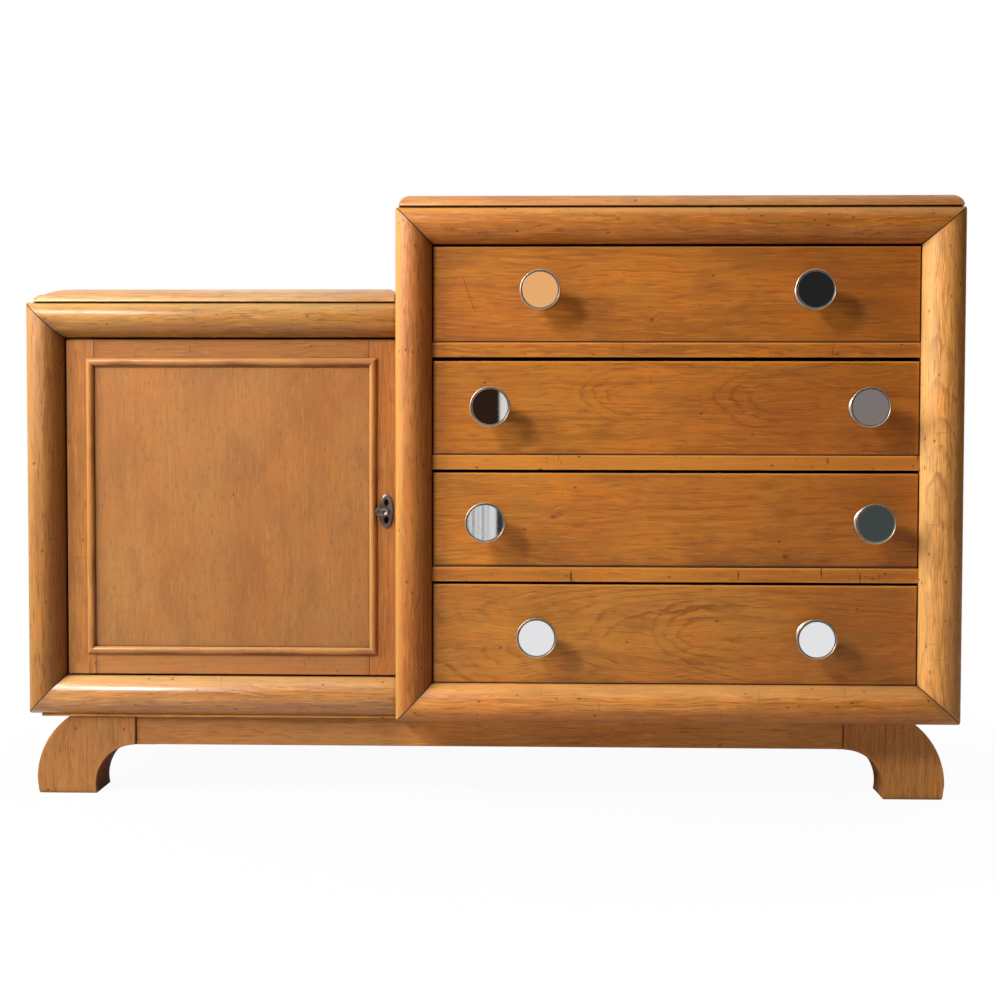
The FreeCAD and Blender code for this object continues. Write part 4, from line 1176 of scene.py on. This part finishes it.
class COMMODE_OT_base(Operator):
    """Finish the plinth, its feet and the board above them"""
    bl_idname = "commode.base"
    bl_label = "Base"

    def execute(self, context):
        boards = {
            # The front rail is lightened right of the chest's left end, against the shadow that the chest
            # casts on it: painted light.
            "plinth_front_rail": {"grain": "X", "shade": 1.04, "dirt_and_shade": 0.6,
                                  "tone_and_light_ramps": [(-0.14, -0.08, (1.6, 1.55, 1.3))]},
            "plinth_side_rails": {"grain": "Y"},
            "plinth_back_rail": {"grain": "X", "shade": 0.8},
            # Each front foot has a painted shade on its inner side.
            "front_left_foot": {"grain": "Z", "heart": (0.06, 0.03), "painted_side_light": ((1, 0, 0), 0.98, 0.0)},
            "front_right_foot": {"grain": "Z", "heart": (0.06, -0.03), "painted_side_light": ((-1, 0, 0), 0.4, 0.0),
                                 "shade": 1.45},
            "rear_feet": {"grain": "Z", "shade": 0.8},
            "base_board": {"grain": "X", "shade": 2.2, "tint": (1.0, 1.06, 1.2), "dirt_and_shade": 0.3},
        }
        shared = {"gloss": 0.55, "wax": 0.04, "figure": 0.45, "fleck_rarity": 0.9, "fibres": 0.45,
                  "streaks": 0.4, "pores": 0.4}
        for number, (node, own) in enumerate(boards.items(), FIRST_BOARD["base"]):
            dress_waxed(node, settings().wood.base, shared | own, number)
            soften(node, KNOCKED)
        return {"FINISHED"}


class COMMODE_OT_case(Operator):
    """Finish the sides, backs and everything inside"""
    bl_idname = "commode.case"
    bl_label = "Case"

    def execute(self, context):
        wood = settings().wood
        side = {"grain": "Z", "heart": (0.06, 0.02), "ring": 0.009, "lean": (0.04, 0.02), "figure": 0.5}
        for number, node in enumerate(("left_side", "right_side", "partition"), FIRST_BOARD["case"]):
            dress_waxed(node, wood.case, side, number)
            soften(node, EVEN)
        inside = {
            "chest_floor": "X", "cupboard_floor": "X", "cupboard_shelf": "X", "shelf_battens": "Y",
            "drawer_runners": "Y", "drawer_guides": "Y", "drawer_kickers": "Y",
        }
        for number, (node, grain) in enumerate(inside.items(), FIRST_BOARD["inside"]):
            dress_bare(node, grain, number, SLIGHT)
        back = {"grain": "Z", "heart": (0.04, 0.08), "lean": (0.05, 0.03), "ring": 0.010, "drift": 0.05,
                "figure": 0.5, "gloss": 0.70, "wax": 0.0, "shine": 0.12, "lights": 0.3, "mottle": 0.5,
                "dirt_and_shade": 0.6}
        for number, node in enumerate(("chest_back", "cupboard_back"), FIRST_BOARD["backs"]):
            dress_waxed(node, wood.back, back, number, "dry")
        return {"FINISHED"}


def area_lamp(name, place, target, width, height, power):
    """A soft rectangular lamp that faces a point."""
    lamp = bpy.data.lights.new(name, "AREA")
    lamp.shape = "RECTANGLE"
    lamp.size = width
    lamp.size_y = height
    lamp.energy = power
    holder = bpy.data.objects.new(name, lamp)
    bpy.context.scene.collection.objects.link(holder)
    holder.location = place
    holder.rotation_euler = (Vector(target) - Vector(place)).to_track_quat("-Z", "Y").to_euler()
    return holder


class COMMODE_OT_stage(Operator):
    """Set up the camera, lamps, floor and the cards that the knobs mirror"""
    bl_idname = "commode.stage"
    bl_label = "Stage"

    def execute(self, context):
        context.scene.view_settings.view_transform = "Standard"
        self.camera(context)
        self.lamps()
        self.room(context)
        self.floor()
        self.cards()
        return {"FINISHED"}

    def camera(self, context):
        """A camera with a turn, a tilt and a roll about its own view."""
        stage = settings().stage
        lens = bpy.data.cameras.new("Camera")
        lens.sensor_width = 36
        lens.lens = stage.lens
        holder = bpy.data.objects.new("Camera", lens)
        context.scene.collection.objects.link(holder)
        left, down, roll = stage.aim
        forward = Vector((-math.sin(left) * math.cos(down), math.cos(left) * math.cos(down),
                          -math.sin(down)))
        level = Vector((math.cos(left), math.sin(left), 0))
        upward = level.cross(forward)
        side = level * math.cos(roll) + upward * math.sin(roll)
        top = upward * math.cos(roll) - level * math.sin(roll)
        turn = Matrix((side, top, -forward)).transposed().to_4x4()
        holder.matrix_world = Matrix.Translation(stage.eye) @ turn
        context.scene.camera = holder

    def lamps(self):
        """Soft lamps, each with its place, the point that it faces, its width and its height."""
        stage = settings().stage
        lamps = {
            "window": ((-1.85, -0.95, 1.38), (0.0, 0.0, 0.4), 0.9, 0.9),
            "fill": ((-1.34, -1.80, 1.82), (0.0, -0.1, 0.4), 0.45, 0.45),
            "ceiling": ((0.10, -0.55, 2.70), (0.1, -0.1, 0.4), 2.2, 1.2),
            "rear": ((1.50, 2.10, 1.80), (0.0, 0.2, 0.4), 2.0, 1.6),
        }
        for name, (place, target, width, height) in lamps.items():
            lamp = area_lamp(f"{name}_light", place, target, width, height, getattr(stage, name))
            lamp.visible_glossy = name != "rear"

    def room(self, context):
        """An even room that gives little light and looks white where it is seen."""
        stage = settings().stage
        world = Finish(bpy.data.worlds.new("Room"))
        rays = world.add("ShaderNodeLightPath", output="Is Camera Ray")
        seen = rays.most(rays.beside("Is Glossy Ray")).most(rays.beside("Is Transmission Ray"))
        strength = stage.room + seen * (1 - stage.room)
        backdrop = world.add("ShaderNodeBackground", None, {"Color": (1, 1, 1, 1), "Strength": strength})
        world.add("ShaderNodeOutputWorld", None, {"Surface": backdrop})
        context.scene.world = world.owner

    def floor(self):
        """A matt floor that runs out to white round the piece, and in mirrors far to the front."""
        stage = settings().stage
        clear_selection()
        bpy.ops.mesh.primitive_plane_add(size=12, location=(0, 0, 0))
        piece = bpy.context.object
        piece.name = "floor"
        finish = new_finish("pale_floor")
        rays = finish.add("ShaderNodeLightPath", output="Is Camera Ray")
        x, y = split(finish, finish.object_place())[:2]
        oval, near_white = 0.62, 0.95
        away = ((x * oval) ** 2.0 + y ** 2.0) ** 0.5
        shown = rays * (near_white + away.eased(0.30, 0.85) * (1 - near_white))
        share = shown.most(rays.beside("Is Glossy Ray") * (y * -1).eased(1.30, 1.60))
        matt = finish.add("ShaderNodeBsdfDiffuse", None, {"Color": shaded(stage.floor, 1.0)})
        white = finish.add("ShaderNodeEmission", None, {"Color": (1, 1, 1, 1), "Strength": 1.0})
        mixed = finish.add("ShaderNodeMixShader", None, {0: share, 1: matt, 2: white})
        finish.add("ShaderNodeOutputMaterial", None, {"Surface": mixed})
        cover(piece, finish.owner)

    def cards(self):
        """Glowing cards behind and beside the camera, seen only in mirrors: dark walls, a glowing window
        and skylight that give the wax its highlights, and patches that the knobs' faces mirror.
        """
        cards = {
            "wall_card": (0.0, 1.75, 7.0, 3.5, tone(58, 48, 42), -3.4),
            "side_wall_card": (3.4, 1.75, 7.0, 3.5, tone(50, 40, 34), 0.0, QUARTER),
            "window_card": (-3.0, 1.95, 2.4, 1.6, (3.2, 2.9, 2.4), -0.4, QUARTER),
            "skylight_card": (-1.42, 2.10, 0.80, 0.90, (5.2, 7.6, 10.0), -2.4),
            "tan_card": (0.068, 0.918, 0.26, 0.22, (1.05, 0.53, 0.20)),
            "black_card": (0.908, 0.918, 0.34, 0.30, tone(38, 40, 42)),
            "brown_card": (-0.165, 0.562, 0.20, 0.30, tone(52, 34, 26)),
            "grey_card": (1.071, 0.562, 0.30, 0.28, tone(136, 128, 124)),
            "green_card": (1.0875, 0.205, 0.30, 0.28, tone(70, 78, 76)),
            "curtain_card": (-0.110, 0.205, 0.13, 0.16, tone(236, 236, 234), -3.3),
            "doorway_card": (-0.040, 0.562, 0.05, 0.20, tone(240, 238, 232), -3.3),
            "jamb_card": (-0.062, 0.205, 0.024, 0.16, tone(58, 58, 58), -3.25),
        }
        first_slat, slat_step = -0.158, 0.015
        for number, width in enumerate((0.004, 0.007, 0.003, 0.006, 0.003)):
            x = first_slat + number * slat_step
            cards[f"slat_{number}"] = (x, 0.205, width, 0.14, tone(140, 140, 140))
        for name, card in cards.items():
            self.card(name, *card)

    def card(self, name, x, z, width, height, colour, y=-3.2, turn=0):
        """An upright card that glows in one colour."""
        clear_selection()
        bpy.ops.mesh.primitive_plane_add(size=1, location=(x, y, z), rotation=(QUARTER, 0, turn))
        piece = bpy.context.object
        piece.name = name
        piece.scale = (width, height, 1)
        settle()
        finish = new_finish(name)
        shown = finish.add("ShaderNodeEmission", None, {"Color": tuple(colour) + (1.0,), "Strength": 1.0})
        finish.add("ShaderNodeOutputMaterial", None, {"Surface": shown})
        cover(piece, finish.owner)
        piece.visible_camera = False
        piece.visible_diffuse = False
        piece.visible_shadow = False
        piece.visible_transmission = False


class COMMODE_PT_pieces(Panel):
    """Lists the commode's pieces and settings"""
    bl_idname = "COMMODE_PT_pieces"
    bl_label = "Stepped commode"
    bl_space_type = "VIEW_3D"
    bl_region_type = "UI"
    bl_category = "Commode"

    def draw(self, context):
        column = self.layout.column()
        for step in STEPS:
            column.operator(step.bl_idname)
        for group in (settings().wood, settings().metal, settings().stage):
            box = self.layout.box()
            for key in group.__annotations__:
                box.prop(group, key)


STEPS = (
    COMMODE_OT_case, COMMODE_OT_frames, COMMODE_OT_tops, COMMODE_OT_drawers, COMMODE_OT_knobs,
    COMMODE_OT_door, COMMODE_OT_lock, COMMODE_OT_base, COMMODE_OT_stage,
)
CLASSES = (WoodSettings, MetalSettings, StageSettings, CommodeSettings) + STEPS + (COMMODE_PT_pieces,)


def register():
    """Makes the classes and the settings known to Blender."""
    for item in CLASSES:
        bpy.utils.register_class(item)
    bpy.types.Scene.commode = PointerProperty(type=CommodeSettings)


def unregister():
    """Takes the settings and the classes away again."""
    del bpy.types.Scene.commode
    for item in reversed(CLASSES):
        bpy.utils.unregister_class(item)


def main():
    """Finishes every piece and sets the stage."""
    register()
    bpy.ops.commode.case()
    bpy.ops.commode.frames()
    bpy.ops.commode.tops()
    bpy.ops.commode.drawers()
    bpy.ops.commode.knobs()
    bpy.ops.commode.door()
    bpy.ops.commode.lock()
    bpy.ops.commode.base()
    bpy.ops.commode.stage()


if __name__ == "__main__":
    main()
